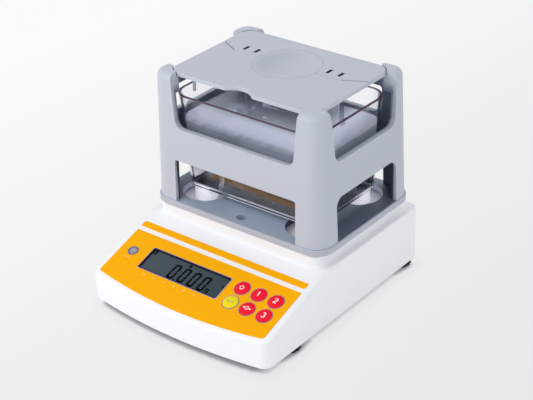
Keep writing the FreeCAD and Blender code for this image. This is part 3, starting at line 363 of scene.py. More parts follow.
def water_finish(name):
    """Painted shade darkens its depth towards the bottom, and a painted reflection in slate lies along
    its walls near the top. On the surface lies a streaky, glowing sheen of painted light and
    reflection, thickest in a band a little way in from the front and the right wall."""
    look = Look(name)
    x, y, z = look.from_stand()
    # painted shade: the water darkens towards the bottom of the tank
    depth_shade = look.blend(look.ramp(z, *DEPTH_SHADE_Z), (0.97, 0.98, 1.0, 1.0), (0.02, 0.03, 0.05, 1.0))
    tint = look.blend(look.ramp(z, *GREY_Z), depth_shade, (0.3, 0.34, 0.42, 1.0))
    deep = look.surface(Base_Color=tint, Roughness=0.0, Transmission_Weight=1.0, IOR=WATER_IOR,
                        Normal=look.bump(look.noise(9.0, 2.0), 0.25, 0.8))
    # a painted reflection on the water's sides near the top, slate below and paler above, glowing a little
    slate = look.blend(look.ramp(z, *PALER_Z), shade(14, 26, 36), shade(158, 166, 182))
    side = z.below(WATER_TOP - WATER_SKIN) * look.ramp(z, *SIDE_Z) * 0.75
    within = look.mix(side, deep, look.painted_glow(slate, rough=0.15, glow=0.4))

    # the share of the painted sheen, painted light and reflection on the surface, greatest in the lit band
    from_wall = (TANK_RIM[0] / 2 - x).at_most(y + TANK_RIM[1] / 2)
    streak = look.noise(5.0, 4.0, (1.0, 0.3, 1.0))
    film = (SHEEN_WALL + look.ramp(from_wall + streak * STREAK_RUN, *BAND_IN) * (SHEEN_BAND - SHEEN_WALL)
            - look.ramp(from_wall, *MIDDLE_IN) * (SHEEN_BAND - SHEEN_MIDDLE)
            - look.ramp(from_wall, *FAR_IN) * (SHEEN_MIDDLE - SHEEN_FAR))
    film = z.above(WATER_TOP - WATER_SKIN) * film * (0.9 + streak * 0.2).at_most(1.0)
    painted_sheen = look.surface(Base_Color=shade(240, 243, 255), Roughness=0.15,
                         Emission_Color=(0.72, 0.77, 1.0, 1.0), Emission_Strength=0.24)
    return look.finish(look.mix(film, within, painted_sheen))


def post_finish(name):
    """Milky white moulding with painted light: it glows a little, though it is no lamp."""
    look = Look(name)
    white = shade(243, 244, 252)
    return look.principled(Base_Color=mottled(look, white, MOTTLE_MM, 0.01),
                           Roughness=look.noise(GLOSS_MM).between(0.3, 0.35),
                           Normal=look.bump(look.noise(0.5, 3.0), 0.008, 0.6),
                           # painted light: the posts glow so that they stay bright in the tank's shade
                           Emission_Color=white, Emission_Strength=0.38)


BORE_EDGE = 0.25         # how far a bore's painted tone reaches out round the hole
FLOOR_SIDE = (58.0, 70.0)  # where the floor's painted shade turns to slate, out from the middle
# the frame's faces turned to the tank, and the reveals of its lower windows: how deep inside the
# outline their painted shade begins and is full, and the height at which it ends and is full
INNER_IN, INNER_Z = (4.6, 6.6), (174.0, 168.0)
REVEAL_IN, REVEAL_Z = (2.4, 3.6), (110.0, 106.0)
# the plate's painted shade off the edge of its dish: none and full for the crease, and for the hollow,
# which also fades across the dish from right to left
CREASE_OFF, HOLLOW_IN, HOLLOW_X = (0.9, 0.3), (0.0, 6.0), (12.0, -28.0)


def stand_grain(look):
    """Fine grain of the stand's mouldings."""
    return look.noise(0.35, 3.0)


def stand_plate_finish(name):
    """The stand's grey outside the frame, and inside it a floor in painted shade that turns to slate at
    its left and right. The bores are painted light as if lit, but the front right one is painted dark as shade."""
    look = Look(name)
    x, y, _ = look.from_stand()
    inside = look.depth_in(x, y, STAND_HALF_X, STAND_HALF_Y, STAND_R).above(0.0)
    # painted shade: the floor inside the frame, darker towards its left and right
    side = look.ramp(x.size(), *FLOOR_SIDE)
    floor = look.blend(side, shade(168, 182, 200), shade(98, 106, 126))
    across = x.size() - HOLE_X
    along = y.size() - HOLE_Y
    bore = ((across ** 2.0 + along ** 2.0) ** 0.5).below(HOLE_R + BORE_EDGE)
    # painted light and shade in the bores: pale, but dark in the front right one
    front_right = x.above(0.0) * y.below(0.0)
    painted_bore_tone = look.blend(front_right, shade(214, 216, 238), shade(40, 44, 70))
    base = look.blend(bore, look.blend(inside, shade(184, 188, 200), floor), painted_bore_tone)
    return look.principled(Base_Color=look.blend(look.noise(14.0) * 0.06, base, shade(90, 98, 112)),
                           Roughness=look.noise(GLOSS_MM).between(0.36, 0.42),
                           Normal=look.bump(stand_grain(look), 0.012, 0.6))


def stand_frame_finish(name):
    """The stand's grey, with painted shade: slate on the faces turned to the tank, and darker still in
    the reveals of the lower windows."""
    look = Look(name)
    x, y, z = look.from_stand()
    depth = look.depth_in(x, y, STAND_HALF_X, STAND_HALF_Y, STAND_R)
    # painted shade on the faces turned to the tank and in the reveals of the lower windows
    painted_inner_shade = look.ramp(depth, *INNER_IN) * look.ramp(z, *INNER_Z)
    painted_reveal_shade = look.ramp(depth, *REVEAL_IN) * look.ramp(z, *REVEAL_Z)
    base = look.blend(painted_inner_shade, mottled(look, STAND_GREY, MOTTLE_MM, 0.015), shade(122, 130, 152))
    return look.principled(Base_Color=look.blend(painted_reveal_shade, base, shade(62, 68, 90)),
                           Roughness=look.noise(GLOSS_MM).between(0.39, 0.45),
                           Normal=look.bump(stand_grain(look), 0.012, 0.6),
                           Specular_IOR_Level=0.25)


def weighing_plate_finish(name):
    """The stand's grey with a fine crease round the dish. Painted shade darkens the slots, the
    crease, and the dish on its left side."""
    look = Look(name)
    x, y, _ = look.from_stand()
    reach = (x ** 2.0 + (y - DISH_Y) ** 2.0) ** 0.5
    crease = look.ramp((reach - DISH_R).size(), *CREASE_OFF)
    painted_hollow_shade = look.ramp(DISH_R - reach, *HOLLOW_IN) * look.ramp(x, *HOLLOW_X)
    off_slot = ((x.size() - SLOT_MID_X).size() - SLOT_HALF_GAP).size()
    painted_slot_shade = off_slot.below(SLOT_HALF_W) * (y - SLOT_Y).size().below(SLOT_HALF_L)
    # painted shade in the slots
    base = look.blend(painted_slot_shade, shade(193, 197, 208), shade(70, 74, 86))
    # painted shade in the dish's hollow and along its crease
    base = look.blend(painted_hollow_shade * 0.35 + crease * 0.25, base, shade(150, 156, 172))
    relief = crease * -1.0 + stand_grain(look) * 0.06
    return look.principled(Base_Color=base, Roughness=look.noise(GLOSS_MM).between(0.39, 0.45),
                           Normal=look.bump(relief, 0.2, 0.8), Specular_IOR_Level=0.3)


TRACK_PITCH = 2.54
TRACK_FROM_X, TRACK_FROM_Y = 0.36 * TRACK_PITCH, 0.42 * TRACK_PITCH  # on its half pitch


def circuit_board(name, mask):
    """Solder mask over copper: a grid of fine tracks shows through it as a lighter green."""
    look = Look(name)
    x, y, _ = look.xyz()
    along = x.zigzag(TRACK_PITCH / 2).above(TRACK_FROM_X)
    across = y.zigzag(TRACK_PITCH / 2).above(TRACK_FROM_Y)
    track = along.at_least(across) * look.noise(9.0).above(0.52)
    light = tuple(min(v * 1.8 + 0.02, 1.0) for v in mask[:3]) + (1.0,)
    return look.principled(Base_Color=look.blend(track, mask, light),
                           Roughness=look.noise(3.0).between(0.28, 0.38),
                           Normal=look.bump(track, 0.03, 0.5))


def bezel_finish(name):
    """Dark violet moulding with a painted highlight: a lilac line round its outermost edge."""
    look = Look(name)
    x, y, z = look.xyz()
    rim = look.depth_in(x - WINDOW_MID[0], up_slope(y, z) - WINDOW_MID[1],
                        WINDOW_W / 2 + BEZEL_OVER, WINDOW_H / 2 + BEZEL_OVER, BEZEL_R)
    # painted highlight: the outermost edge of the bezel is lilac
    base = look.blend(look.ramp(rim, 0.3, 0.5), shade(168, 158, 196), shade(34, 30, 56))
    return look.principled(Base_Color=base, Roughness=look.noise(6.0).between(0.37, 0.43),
                           Specular_IOR_Level=0.2)


def display_cell_finish(name):
    """Reflective liquid crystal cell: grey-green, a shade lighter at its left end."""
    look = Look(name)
    along = look.ramp(look.xyz()[0], WINDOW_X0, WINDOW_X1)
    base = look.blend(along, shade(80, 90, 99), shade(60, 78, 82))
    speckle = look.noise(0.4, 1.0)
    return look.principled(Base_Color=look.blend(speckle * 0.12, base, shade(50, 60, 66)),
                           Roughness=speckle.between(0.35, 0.45), Specular_IOR_Level=0.15)


def key_cap_finish(name, colour):
    """Glossy moulded key with a fine satin grain."""
    look = Look(name)
    fine = look.noise(0.35, 2.0)
    return look.principled(Base_Color=mottled(look, colour, 4.0, 0.04),
                           Roughness=fine.between(0.3, 0.38), Specular_IOR_Level=0.2,
                           Normal=look.bump(fine, 0.005, 0.5))


FINISH = {
    "white_gloss": moulded("housing_white", shade(247, 248, 251), 0.26, grain_mm=0.8,
                           grain_depth=0.006, coat=0.5, mottle=0.008),
    "tray_grey": moulded("tray_grey", shade(168, 172, 180), 0.5, grain_mm=0.4, grain_depth=0.02),
    "black_foot": moulded("foot_black", shade(26, 25, 32), 0.55, grain_mm=0.3, grain_depth=0.02,
                          mottle=0.3, gloss=0.15),
    "steel": metal("zinc_steel", shade(196, 198, 204), 0.3),
    "alloy": metal("cast_alloy", shade(214, 215, 220), 0.38),
    "gauge_film": printed_film("gauge_amber", shade(206, 146, 66)),
    "black_rubber": moulded("rubber_black", shade(38, 38, 40), 0.75, grain_mm=0.3,
                            grain_depth=0.03),
    "white_plastic": moulded("holder_white", shade(240, 241, 248), 0.32, grain_depth=0.008,
                             coat=0.1, mottle=0.01),
    "stand_grey": moulded("stand_grey", STAND_GREY, 0.42, grain_mm=0.35, grain_depth=0.012,
                          mottle=0.015, gloss=0.25),
    "clear_plastic": tank_finish("tank_clear"),
    "orange_film": printed_film("film_orange", shade(255, 177, 2)),
    "bezel_grey": moulded("ring_grey", shade(150, 138, 150), 0.35, grain_mm=0.3, grain_depth=0.006),
    "clear_window": thin_window("window_clear"),
    "lcd_glass": display_cell_finish("display_cell"),
    "board_green": circuit_board("board_green", shade(22, 92, 52)),
    "red_key": key_cap_finish("key_red", shade(250, 8, 44)),
    "yellow_key": key_cap_finish("key_yellow", shade(244, 222, 8)),
    "black_plastic": moulded("part_black", shade(34, 34, 36), 0.45, grain_mm=0.3,
                             grain_depth=0.015),
    "vial_liquid": clear_liquid("vial_clear", (0.9, 0.9, 1.0, 1.0), OIL_IOR),
    "brass": metal("brass_pin", shade(214, 178, 100), 0.25),
}
DARK_SLEEVE = moulded("sleeve_dark", shade(30, 30, 46), 0.5, grain_mm=0.3, grain_depth=0.006,
                      gloss=0.2)
INK_WHITE = printed_film("ink_white", shade(252, 248, 246))
INK_GREY = printed_film("ink_grey", shade(150, 140, 130))
INK_FAINT = printed_film("ink_faint", shade(255, 216, 128))
SEGMENT_BLACK = printed_film("segment_black", shade(3, 8, 10), gloss=0.0)
LEVEL_RIM = moulded("level_rim", shade(120, 114, 138), 0.3, grain_mm=0.3, grain_depth=0.004)
LIQUID = moulded("level_liquid", shade(152, 149, 168), 0.2, grain_depth=0.002)
BUBBLE = moulded("level_bubble", shade(178, 176, 192), 0.15, grain_depth=0.001)

for node, obj in frame["nodes"].items():
    obj.data.materials.clear()
    obj.data.materials.append(FINISH[SLOT_OF[node]])


# ---------------- pieces
CAD_MERGE = 0.002        # corners of a CAD mesh this close are one
NEW_MERGE = 0.0005       # and of a new piece
FLAT_DEG = 0.4           # faces that turn less than this are joined
EDGE_DEG, EDGE_STEPS = 40.0, 2  # edges that turn more than this are rounded
# edges that turn more than this are shaded sharp: on round pieces, on plates and on bars
ROUND_DEG, STEP_DEG, BAR_DEG = 28.0, 40.0, 30.0


def add_piece(name, mesh, finish, node):
    """Put a finished mesh in the scene, riding on a node's body."""
    obj = bpy.data.objects.new(name, mesh)
    bpy.context.scene.collection.objects.link(obj)
    mesh.materials.clear()
    mesh.materials.append(finish)
    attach(obj, BODY_OF[node])
    return obj


def smooth(mesh, sharp_deg):
    mesh.polygons.foreach_set("use_smooth", np.ones(len(mesh.polygons), bool))
    mesh.set_sharp_from_angle(angle=math.radians(sharp_deg))


def polish(node, name, edge_mm, finish):
    """A CAD node's own shape with its doubles merged and its flat faces joined, the round
    stretches shaded smooth and the edges rounded by edge_mm. It stands for the node."""
    mesh = bpy.data.meshes.new(name)
    work = bmesh.new()
    work.from_mesh(frame["nodes"][node].data)
    bmesh.ops.remove_doubles(work, verts=work.verts, dist=CAD_MERGE * MM)
    bmesh.ops.dissolve_limit(work, angle_limit=math.radians(FLAT_DEG), verts=work.verts,
                             edges=work.edges)
    work.to_mesh(mesh)
    work.free()
    for spare in ("custom_normal", "sharp_edge"):
        if spare in mesh.attributes:
            mesh.attributes.remove(mesh.attributes[spare])
    smooth(mesh, ROUND_DEG)
    obj = add_piece(name, mesh, finish, node)
    if edge_mm:
        rounding = obj.modifiers.new("edge", "BEVEL")
        rounding.width = edge_mm * MM
        rounding.segments = EDGE_STEPS
        rounding.limit_method = "ANGLE"
        rounding.angle_limit = math.radians(EDGE_DEG)
        rounding.harden_normals = True
    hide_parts(node)


def grid_faces(rows, columns, wrap_rows, wrap_columns):
    """Quads of a grid whose vertex (i, j) is i * columns + j."""
    i = np.arange(rows if wrap_rows else rows - 1)[:, None]
    j = np.arange(columns if wrap_columns else columns - 1)[None, :]
    i1 = (i + 1) % rows
    j1 = (j + 1) % columns
    quad = [i * columns + j, i1 * columns + j, i1 * columns + j1, i * columns + j1]
    return np.stack([np.broadcast_to(c, (i.size, j.size)) for c in quad], -1).reshape(-1, 4)


def closed_mesh(name, points, faces, sharp_deg):
    """Mesh from arrays, its doubles merged and its normals turned outwards."""
    mesh = bpy.data.meshes.new(name)
    mesh.from_pydata(points.reshape(-1, 3).tolist(), [], faces.tolist())
    work = bmesh.new()
    work.from_mesh(mesh)
    bmesh.ops.remove_doubles(work, verts=work.verts, dist=NEW_MERGE * MM)
    bmesh.ops.recalc_face_normals(work, faces=work.faces)
    work.to_mesh(mesh)
    work.free()
    smooth(mesh, sharp_deg)
    return mesh


def stacked(name, outlines, to_metres, closed_ring=False):
    """Surface through outlines of as many points each, given as (points, height): row i of the
    grid is outline i at its height, and a closed ring joins the last one to the first."""
    rings = [np.column_stack([outline, np.full(len(outline), height)])
             for outline, height in outlines]
    points = np.stack(rings)
    faces = grid_faces(len(rings), points.shape[1], closed_ring, True)
    return closed_mesh(name, to_metres(points), faces, STEP_DEG)


TURN_STEPS, CORNER_STEPS, RUN_STEPS = 72, 5, 6  # points on a turn, a corner, a run


def lathe(name, profile, x, s):
    """A profile of (radius, height) pairs turned once round the panel's normal at (x, s):
    point (i, j) is (x + r_i cos a_j, s + r_i sin a_j, n_i)."""
    r, n = np.array(profile, float).T
    a = np.arange(TURN_STEPS) * (2 * math.pi / TURN_STEPS)
    points = np.stack([x + r[:, None] * np.cos(a), s + r[:, None] * np.sin(a),
                       np.broadcast_to(n[:, None], (r.size, a.size))], -1)
    return closed_mesh(name, on_panel(points), grid_faces(r.size, a.size, False, True), ROUND_DEG)


def round_corner(r0, n0, r1, n1):
    """Quarter ellipse from (r0, n0) to (r1, n1), leaving straight up and arriving level."""
    t = np.linspace(0, math.pi / 2, CORNER_STEPS)
    return list(zip(r1 + (r0 - r1) * np.cos(t), n0 + (n1 - n0) * np.sin(t)))


INK_SUNK = 0.03          # how far a bar reaches down into what it is printed on


def ribbon(path, width, height_at, thick):
    """A bar of the given width carried along a path of (x, s) points: at each point the four
    corners lie half a width to either side, just under the surface and thick above it."""
    path = np.array(path, float)
    ahead = np.gradient(path, axis=0)
    ahead /= np.linalg.norm(ahead, axis=1)[:, None]
    aside = np.stack([-ahead[:, 1], ahead[:, 0]], -1) * width / 2
    left, right = path + aside, path - aside
    low = [np.column_stack([p, height_at(p) - INK_SUNK]) for p in (left, right)]
    high = [np.column_stack([p, height_at(p) + thick]) for p in (right, left)]
    points = np.stack(low + high, 1)
    last = (len(path) - 1) * 4
    ends = np.array([[3, 2, 1, 0], [last, last + 1, last + 2, last + 3]])
    return points, np.concatenate([grid_faces(len(path), 4, False, True), ends])


def flat_at(height):
    """A flat surface for a ribbon to lie on: the same height everywhere."""
    return lambda points: np.full(len(points), height)


def rounded_outline(w, d, r, steps=10):
    """Closed outline of a rectangle w by d round the origin: each quarter turn adds
    (cos a, sin a) r to the centre of its corner, at (+-(w/2 - r), +-(d/2 - r))."""
    quarter = np.linspace(0, math.pi / 2, steps)
    turns = np.arange(4)[:, None]
    a = (quarter[None, :] + turns * math.pi / 2).ravel()
    signs = np.repeat(np.array([(1, 1), (-1, 1), (-1, -1), (1, -1)], float), steps, axis=0)
    centre = signs * (np.array([w, d]) / 2 - r)
    return centre + r * np.stack([np.cos(a), np.sin(a)], -1)


def marks(name, ribbons, finish, node):
    """One piece from several ribbons in panel coordinates."""
    points = []
    faces = []
    count = 0
    for p, f in ribbons:
        points.append(p.reshape(-1, 3))
        faces.append(f + count)
        count += p.shape[0] * p.shape[1]
    mesh = closed_mesh(name, on_panel(np.concatenate(points)), np.concatenate(faces), BAR_DEG)
    add_piece(name, mesh, finish, node)


def arc(cx, cs, rx, rs, a0, a1, steps=20):
    """Points of an ellipse round (cx, cs) from angle a0 to a1, in degrees."""
    a = np.radians(np.linspace(a0, a1, steps))
    return np.column_stack([cx + rx * np.cos(a), cs + rs * np.sin(a)])


def line(*points):
    """A polyline with RUN_STEPS points on each of its runs."""
    points = np.array(points, float)
    share = np.linspace(0, 1, RUN_STEPS)[:, None]
    runs = [a + (b - a) * share for a, b in zip(points, points[1:])]
    return np.concatenate([runs[0]] + [r[1:] for r in runs[1:]])


# ---------------- rigid pieces, edges rounded
POLISHED = {
    "top_housing": ("housing_moulding", 0.35),
    "bottom_tray": ("tray_moulding", 0.3),
    "tank_posts": ("tank_post_caps", 0.2),
    "stand_base_plate": ("stand_plate_moulding", 0.3),
    "stand_frame": ("stand_frame_moulding", 0.45),
    "weighing_plate": ("weighing_plate_moulding", 0.45),
    "water_tank": ("tank_moulding", 0.8),
    "basket_tray": ("basket_moulding", 0.25),
    "basket_hangers": ("basket_straps", 0.15),
    "display_frame": ("display_bezel", 0.1),
    "panel_overlay": ("film_main", 0.0),
    "header_strip": ("film_header", 0.0),
    "front_left_foot": ("foot_wheel_front_left", 0.25),
    "front_right_foot": ("foot_wheel_front_right", 0.25),
    "rear_left_foot": ("foot_wheel_rear_left", 0.25),
    "rear_right_foot": ("foot_wheel_rear_right", 0.25),
    "power_socket": ("power_socket_shell", 0.15),
    "data_socket": ("data_socket_shell", 0.15),
}
OWN_FINISH = {
    "tank_posts": post_finish("post_white"),
    "display_frame": bezel_finish("frame_dark"),
    "stand_base_plate": stand_plate_finish("stand_plate_slate"),
    "stand_frame": stand_frame_finish("stand_frame_grey"),
    "weighing_plate": weighing_plate_finish("weighing_plate_grey"),
}
for node, (name, edge_mm) in POLISHED.items():
    polish(node, name, edge_mm, OWN_FINISH.get(node, FINISH[SLOT_OF[node]]))

# ---------------- keys
KEY_R = 6.35
KEY_EDGE, KEY_EDGE_H = 0.5, 0.45  # width and height of the rounding at the dome's edge
KEY_TOP = 2.0            # crown above the panel plane
KEY_DOME_R = 22.0
STEM_R, STEM_LOW = 1.5, -4.6
SKIRT_R, SKIRT_LOW, SKIRT_TOP = 7.4, -4.0, -2.8


def key_place(node):
    """Centre of a key in panel coordinates, from the middle of its box."""
    low, high = corners(node)
    x, y, z = ((a + b) / 2 for a, b in zip(low, high))
    return x, up_slope(y, z)


def dome_height(r):
    """Height of a key's dome at a radius: a sphere of KEY_DOME_R that tops out at KEY_TOP."""
    return KEY_TOP - KEY_DOME_R + np.sqrt(KEY_DOME_R ** 2 - r ** 2)


def dome_at(middle):
    """A key's dome for a ribbon to lie on."""
    return lambda points: dome_height(np.linalg.norm(points - middle, axis=1))


def key_cap(node, name, x, s):
    """Key cap as a turned profile: stem, skirt under the panel, wall, rounded edge, dome."""
    shoulder = KEY_R - KEY_EDGE
    edge_n = dome_height(shoulder)
    dome_r = np.linspace(shoulder, 0, 9)[1:]
    profile = [(0, STEM_LOW), (STEM_R, STEM_LOW), (STEM_R, SKIRT_LOW), (SKIRT_R, SKIRT_LOW),
               (SKIRT_R, SKIRT_TOP), (KEY_R, SKIRT_TOP)]
    profile += round_corner(KEY_R, edge_n - KEY_EDGE_H, shoulder, edge_n)
    profile += list(zip(dome_r, dome_height(dome_r)))
    cap = add_piece(name, lathe(name, profile, x, s), FINISH[SLOT_OF[node]], node)
    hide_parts(node)


def arrow(side):
    """A shaft that points at the middle of a key from its left (-1) or right (1), and a head."""
    return [line((side * 4.0, 0), (side * 2.0, 0)),
            line((side * 2.9, 0.8), (side * 2.0, 0), (side * 2.9, -0.8))]


# the strokes of each key's mark, round the middle of the key
two_top = arc(0, 0.9, 1.3, 1.3, 165, -35)
POWER_MARK = [arc(0, -0.2, 1.7, 1.7, 125, 415), line((0, 0.3), (0, 2.1))]
ONE_MARK = [line((-1.0, 1.3), (0.1, 2.2), (0.1, -2.2))]
TWO_MARK = [np.concatenate([two_top, line(two_top[-1], (-1.4, -2.1), (1.5, -2.1))[1:]])]
THREE_MARK = [arc(-0.1, 1.05, 1.25, 1.1, 150, -90), arc(-0.1, -1.1, 1.4, 1.15, 90, -150)]
ZERO_MARK = [arc(0, 0, 1.1, 1.7, 0, 360)] + arrow(-1) + arrow(1)
ENTER_MARK = [line((2.6, 1.4), (2.6, -0.4), (-2.4, -0.4)),
              line((-1.2, 0.7), (-2.5, -0.4), (-1.2, -1.5))]
KEYS = {
    "power_key": ("key_power", POWER_MARK, 0.62, INK_WHITE),
    "a_key": ("key_one", ONE_MARK, 0.8, INK_WHITE),
    "b_key": ("key_two", TWO_MARK, 0.8, INK_WHITE),
    "enter_key": ("key_enter", ENTER_MARK, 0.5, INK_GREY),
    "zero_key": ("key_zero", ZERO_MARK, 0.55, INK_WHITE),
    "c_key": ("key_three", THREE_MARK, 0.8, INK_WHITE),
}
MARK_T = 0.02            # thickness of the marks
for node, (name, mark, stroke, ink) in KEYS.items():
    middle = key_place(node)
    key_cap(node, name, *middle)
    strokes = [ribbon(path + middle, stroke, dome_at(middle), MARK_T) for path in mark]
    marks(name + "_mark", strokes, ink, node)

RING_IN, RING_OUT, RING_H = 6.45, 7.1, 0.3  # the rims on the film round the keys


def ring_profile():
    """Flat on the film from its bore out, and back over half an ellipse:
    (middle + half cos a, film + height sin a)."""
    middle, half = (RING_IN + RING_OUT) / 2, (RING_OUT - RING_IN) / 2
    a = np.linspace(0, math.pi, 9)
    over = list(zip(middle + half * np.cos(a), FILM_T + RING_H * np.sin(a)))
    return [(RING_IN, FILM_T), *over]


joined = bmesh.new()
for node in KEYS:
    joined.from_mesh(lathe("ring", ring_profile(), *key_place(node)))
ring_mesh = bpy.data.meshes.new("key_surrounds")
joined.to_mesh(ring_mesh)
joined.free()
smooth(ring_mesh, STEP_DEG)
rings = add_piece("key_surrounds", ring_mesh, FINISH["bezel_grey"], "key_rings")
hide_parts("key_rings")

# ---------------- what the display shows
CELL_LOW, CELL_TOP = -2.5, -0.8  # the display's cell under its window
CELL_CLEAR, CELL_R = 0.03, 0.6  # its clearance all round, and its corner
FIGURE_SHIFT = (-0.65, 0.6)  # of all that the face shows
FIGURE_T = 0.03
DIGIT_W, DIGIT_H, DIGIT_PITCH, DIGIT_COUNT = 6.9, 15.6, 10.35, 4
DIGIT_X0, DIGIT_S0 = -28.2, 20.3
STROKE = 2.1
SEGMENT_GAP, CORNER_CUT = 0.22, 0.9
SLANT = 0.06             # run to the right per mm of height
POINT_X, POINT_S = DIGIT_X0 + DIGIT_PITCH - 1.9, DIGIT_S0 + 0.7
POINT_HALF, POINT_STROKE = 0.8, 1.5
UNIT_X, UNIT_S = 12.9, 23.6  # middle of the bowl of the unit's letter g
UNIT_RX, UNIT_RS, UNIT_STROKE = 1.35, 1.5, 1.15
STEM_X, STEM_UP, STEM_DOWN = 1.5, 1.6, 2.2  # the letter's stem from that middle
HOOK_RS = 1.3
# the small signs: path and stroke
RING_SIGN = (arc(-52.8, 38.3, 1.7, 1.5, 0, 360), 1.3)
LOWER_DASH = (line((-17.2, 38.1), (-13.4, 38.1)), 1.5)
UPPER_DASH = (line((-16.4, 39.9), (-14.2, 39.9)), 1.3)
RIGHT_TICK = (line((22.7, 33.4), (23.0, 31.0)), 1.0)


def cell_bar(path, width):
    """A bar on the display's face."""
    return ribbon(np.array(path, float) + FIGURE_SHIFT, width, flat_at(CELL_TOP), FIGURE_T)


def zero_bars(x0, s0):
    """The figure 0 of a segment display: an upper and a lower arch with cut corners, and a
    thin gap between them at half height."""
    t = STROKE / 2
    left, right = x0 + t, x0 + DIGIT_W - t
    bars = []
    for end, way in ((s0 + DIGIT_H - t, 1), (s0 + t, -1)):
        start = s0 + DIGIT_H / 2 + way * SEGMENT_GAP
        path = line((left, start), (left, end - way * CORNER_CUT), (left + CORNER_CUT, end),
                    (right - CORNER_CUT, end), (right, end - way * CORNER_CUT), (right, start))
        bars.append(cell_bar([(x + SLANT * (s - s0), s) for x, s in path], STROKE))
    return bars


def unit_bars():
    """The letter g: a bowl, and a stem down its right side that hooks back under it."""
    bowl = arc(UNIT_X, UNIT_S, UNIT_RX, UNIT_RS, 0, 360)
    stem = line((UNIT_X + STEM_X, UNIT_S + STEM_UP), (UNIT_X + STEM_X, UNIT_S - STEM_DOWN))
    hook = arc(UNIT_X, UNIT_S - STEM_DOWN, STEM_X, HOOK_RS, -10, -170, 10)
    return [cell_bar(bowl, UNIT_STROKE), cell_bar(np.concatenate([stem, hook]), UNIT_STROKE)]


figures = []
for i in range(DIGIT_COUNT):
    figures += zero_bars(DIGIT_X0 + i * DIGIT_PITCH, DIGIT_S0)
point = line((POINT_X - POINT_HALF, POINT_S), (POINT_X + POINT_HALF, POINT_S))
figures.append(cell_bar(point, POINT_STROKE))
figures += unit_bars()
for path, stroke in (RING_SIGN, LOWER_DASH, UPPER_DASH, RIGHT_TICK):
    figures.append(cell_bar(path, stroke))
marks("display_figures", figures, SEGMENT_BLACK, "display_glass")

SLEEVE_IN, SLEEVE_OUT = 0.12, 0.18  # the sleeve's faces in and out of the window's edge
FLANGE_OUT = 0.28
SLEEVE_LOW, FLANGE_LOW, SLEEVE_TOP = -2.45, 0.05, 0.34
SLEEVE_R = 0.7           # corner of the window's edge


def display_sleeve():
    """Rounded rectangular tube with a flange, round the window's edge: outlines that go up its
    outside, out and over the flange, and down its inside."""
    profile = [(SLEEVE_OUT, SLEEVE_LOW), (SLEEVE_OUT, FLANGE_LOW), (FLANGE_OUT, FLANGE_LOW),
               (FLANGE_OUT, SLEEVE_TOP), (-SLEEVE_IN, SLEEVE_TOP), (-SLEEVE_IN, SLEEVE_LOW)]
    outlines = [(rounded_outline(WINDOW_W + 2 * over, WINDOW_H + 2 * over, SLEEVE_R + over, 6)
                 + WINDOW_MID, n) for over, n in profile]
    return stacked("display_sleeve", outlines, on_panel, closed_ring=True)


def display_face():
    """Rounded rectangular plate under the window: outlines from the middle of its underside
    out to its edge, up, and back in to the middle of its face."""
    edge = rounded_outline(WINDOW_W - 2 * CELL_CLEAR, WINDOW_H - 2 * CELL_CLEAR, CELL_R, 6)
    profile = [(0.0, CELL_LOW), (1.0, CELL_LOW), (1.0, CELL_TOP), (0.0, CELL_TOP)]
    return stacked("display_face", [(edge * share + WINDOW_MID, n) for share, n in profile], on_panel)


add_piece("display_sleeve", display_sleeve(), DARK_SLEEVE, "display_frame")
add_piece("display_face", display_face(), FINISH["lcd_glass"], "display_glass")

# ---------------- small pointers on the film
POINTER_X0, POINTER_S, POINTER_PITCH, POINTER_COUNT = -45.9, 15.0, 10.55, 6
POINTER_HALF, POINTER_UP, POINTER_DOWN = 1.2, 0.7, 0.6
DASH_X0, DASH_X1, DASH_S = -76.0, -68.6, 24.2  # line under the bubble level
FINE_STROKE, PRINT_T = 0.5, 0.015

pointers = []
for i in range(POINTER_COUNT):
    x = POINTER_X0 + i * POINTER_PITCH
    pointers.append(line((x - POINTER_HALF, POINTER_S - POINTER_DOWN), (x, POINTER_S + POINTER_UP),
                         (x + POINTER_HALF, POINTER_S - POINTER_DOWN)))
pointers.append(line((DASH_X0, DASH_S), (DASH_X1, DASH_S)))
marks("film_pointers", [ribbon(path, FINE_STROKE, flat_at(FILM_T), PRINT_T) for path in pointers],
      INK_FAINT, "panel_overlay")

# ---------------- bubble level
LEVEL_X, LEVEL_S, LEVEL_R = -71.6, 31.7, 4.7
CUP_LOW, CUP_FLOOR = -8.0, -6.8  # underside and floor of the cup
CUP_R = LEVEL_R - 0.5    # the cup below its flange
CUP_IN = LEVEL_R - 1.3   # its bore
LIQUID_CLEAR = 0.1
BUBBLE_OFF = (0.5, 0.3)  # from the level's middle


def level_cup():
    """Profile of a cup whose flange lies on the film: underside, wall, flange, lip, bore."""
    lip = round_corner(LEVEL_R, FILM_T + 0.25, LEVEL_R - 0.4, FILM_T + 0.6)
    return [(0, CUP_LOW), (CUP_R, CUP_LOW), (CUP_R, FILM_T), (LEVEL_R, FILM_T), *lip,
            (LEVEL_R - 1.0, FILM_T + 0.55), (CUP_IN, FILM_T + 0.2), (CUP_IN, CUP_FLOOR), (0, CUP_FLOOR)]


def level_liquid():
    """Profile of the liquid, which fills the cup and rises in a low dome."""
    r = CUP_IN - LIQUID_CLEAR
    low = CUP_FLOOR + LIQUID_CLEAR
    return [(0, low), (r, low), (r, FILM_T + 0.1), (r - 0.8, FILM_T + 0.28), (0, FILM_T + 0.4)]


def level_bubble():
    """Profile of the bubble: a flat cap on the liquid."""
    return [(0, FILM_T + 0.3), (1.1, FILM_T + 0.34), (1.1, FILM_T + 0.38), (0.6, FILM_T + 0.46),
            (0, FILM_T + 0.5)]


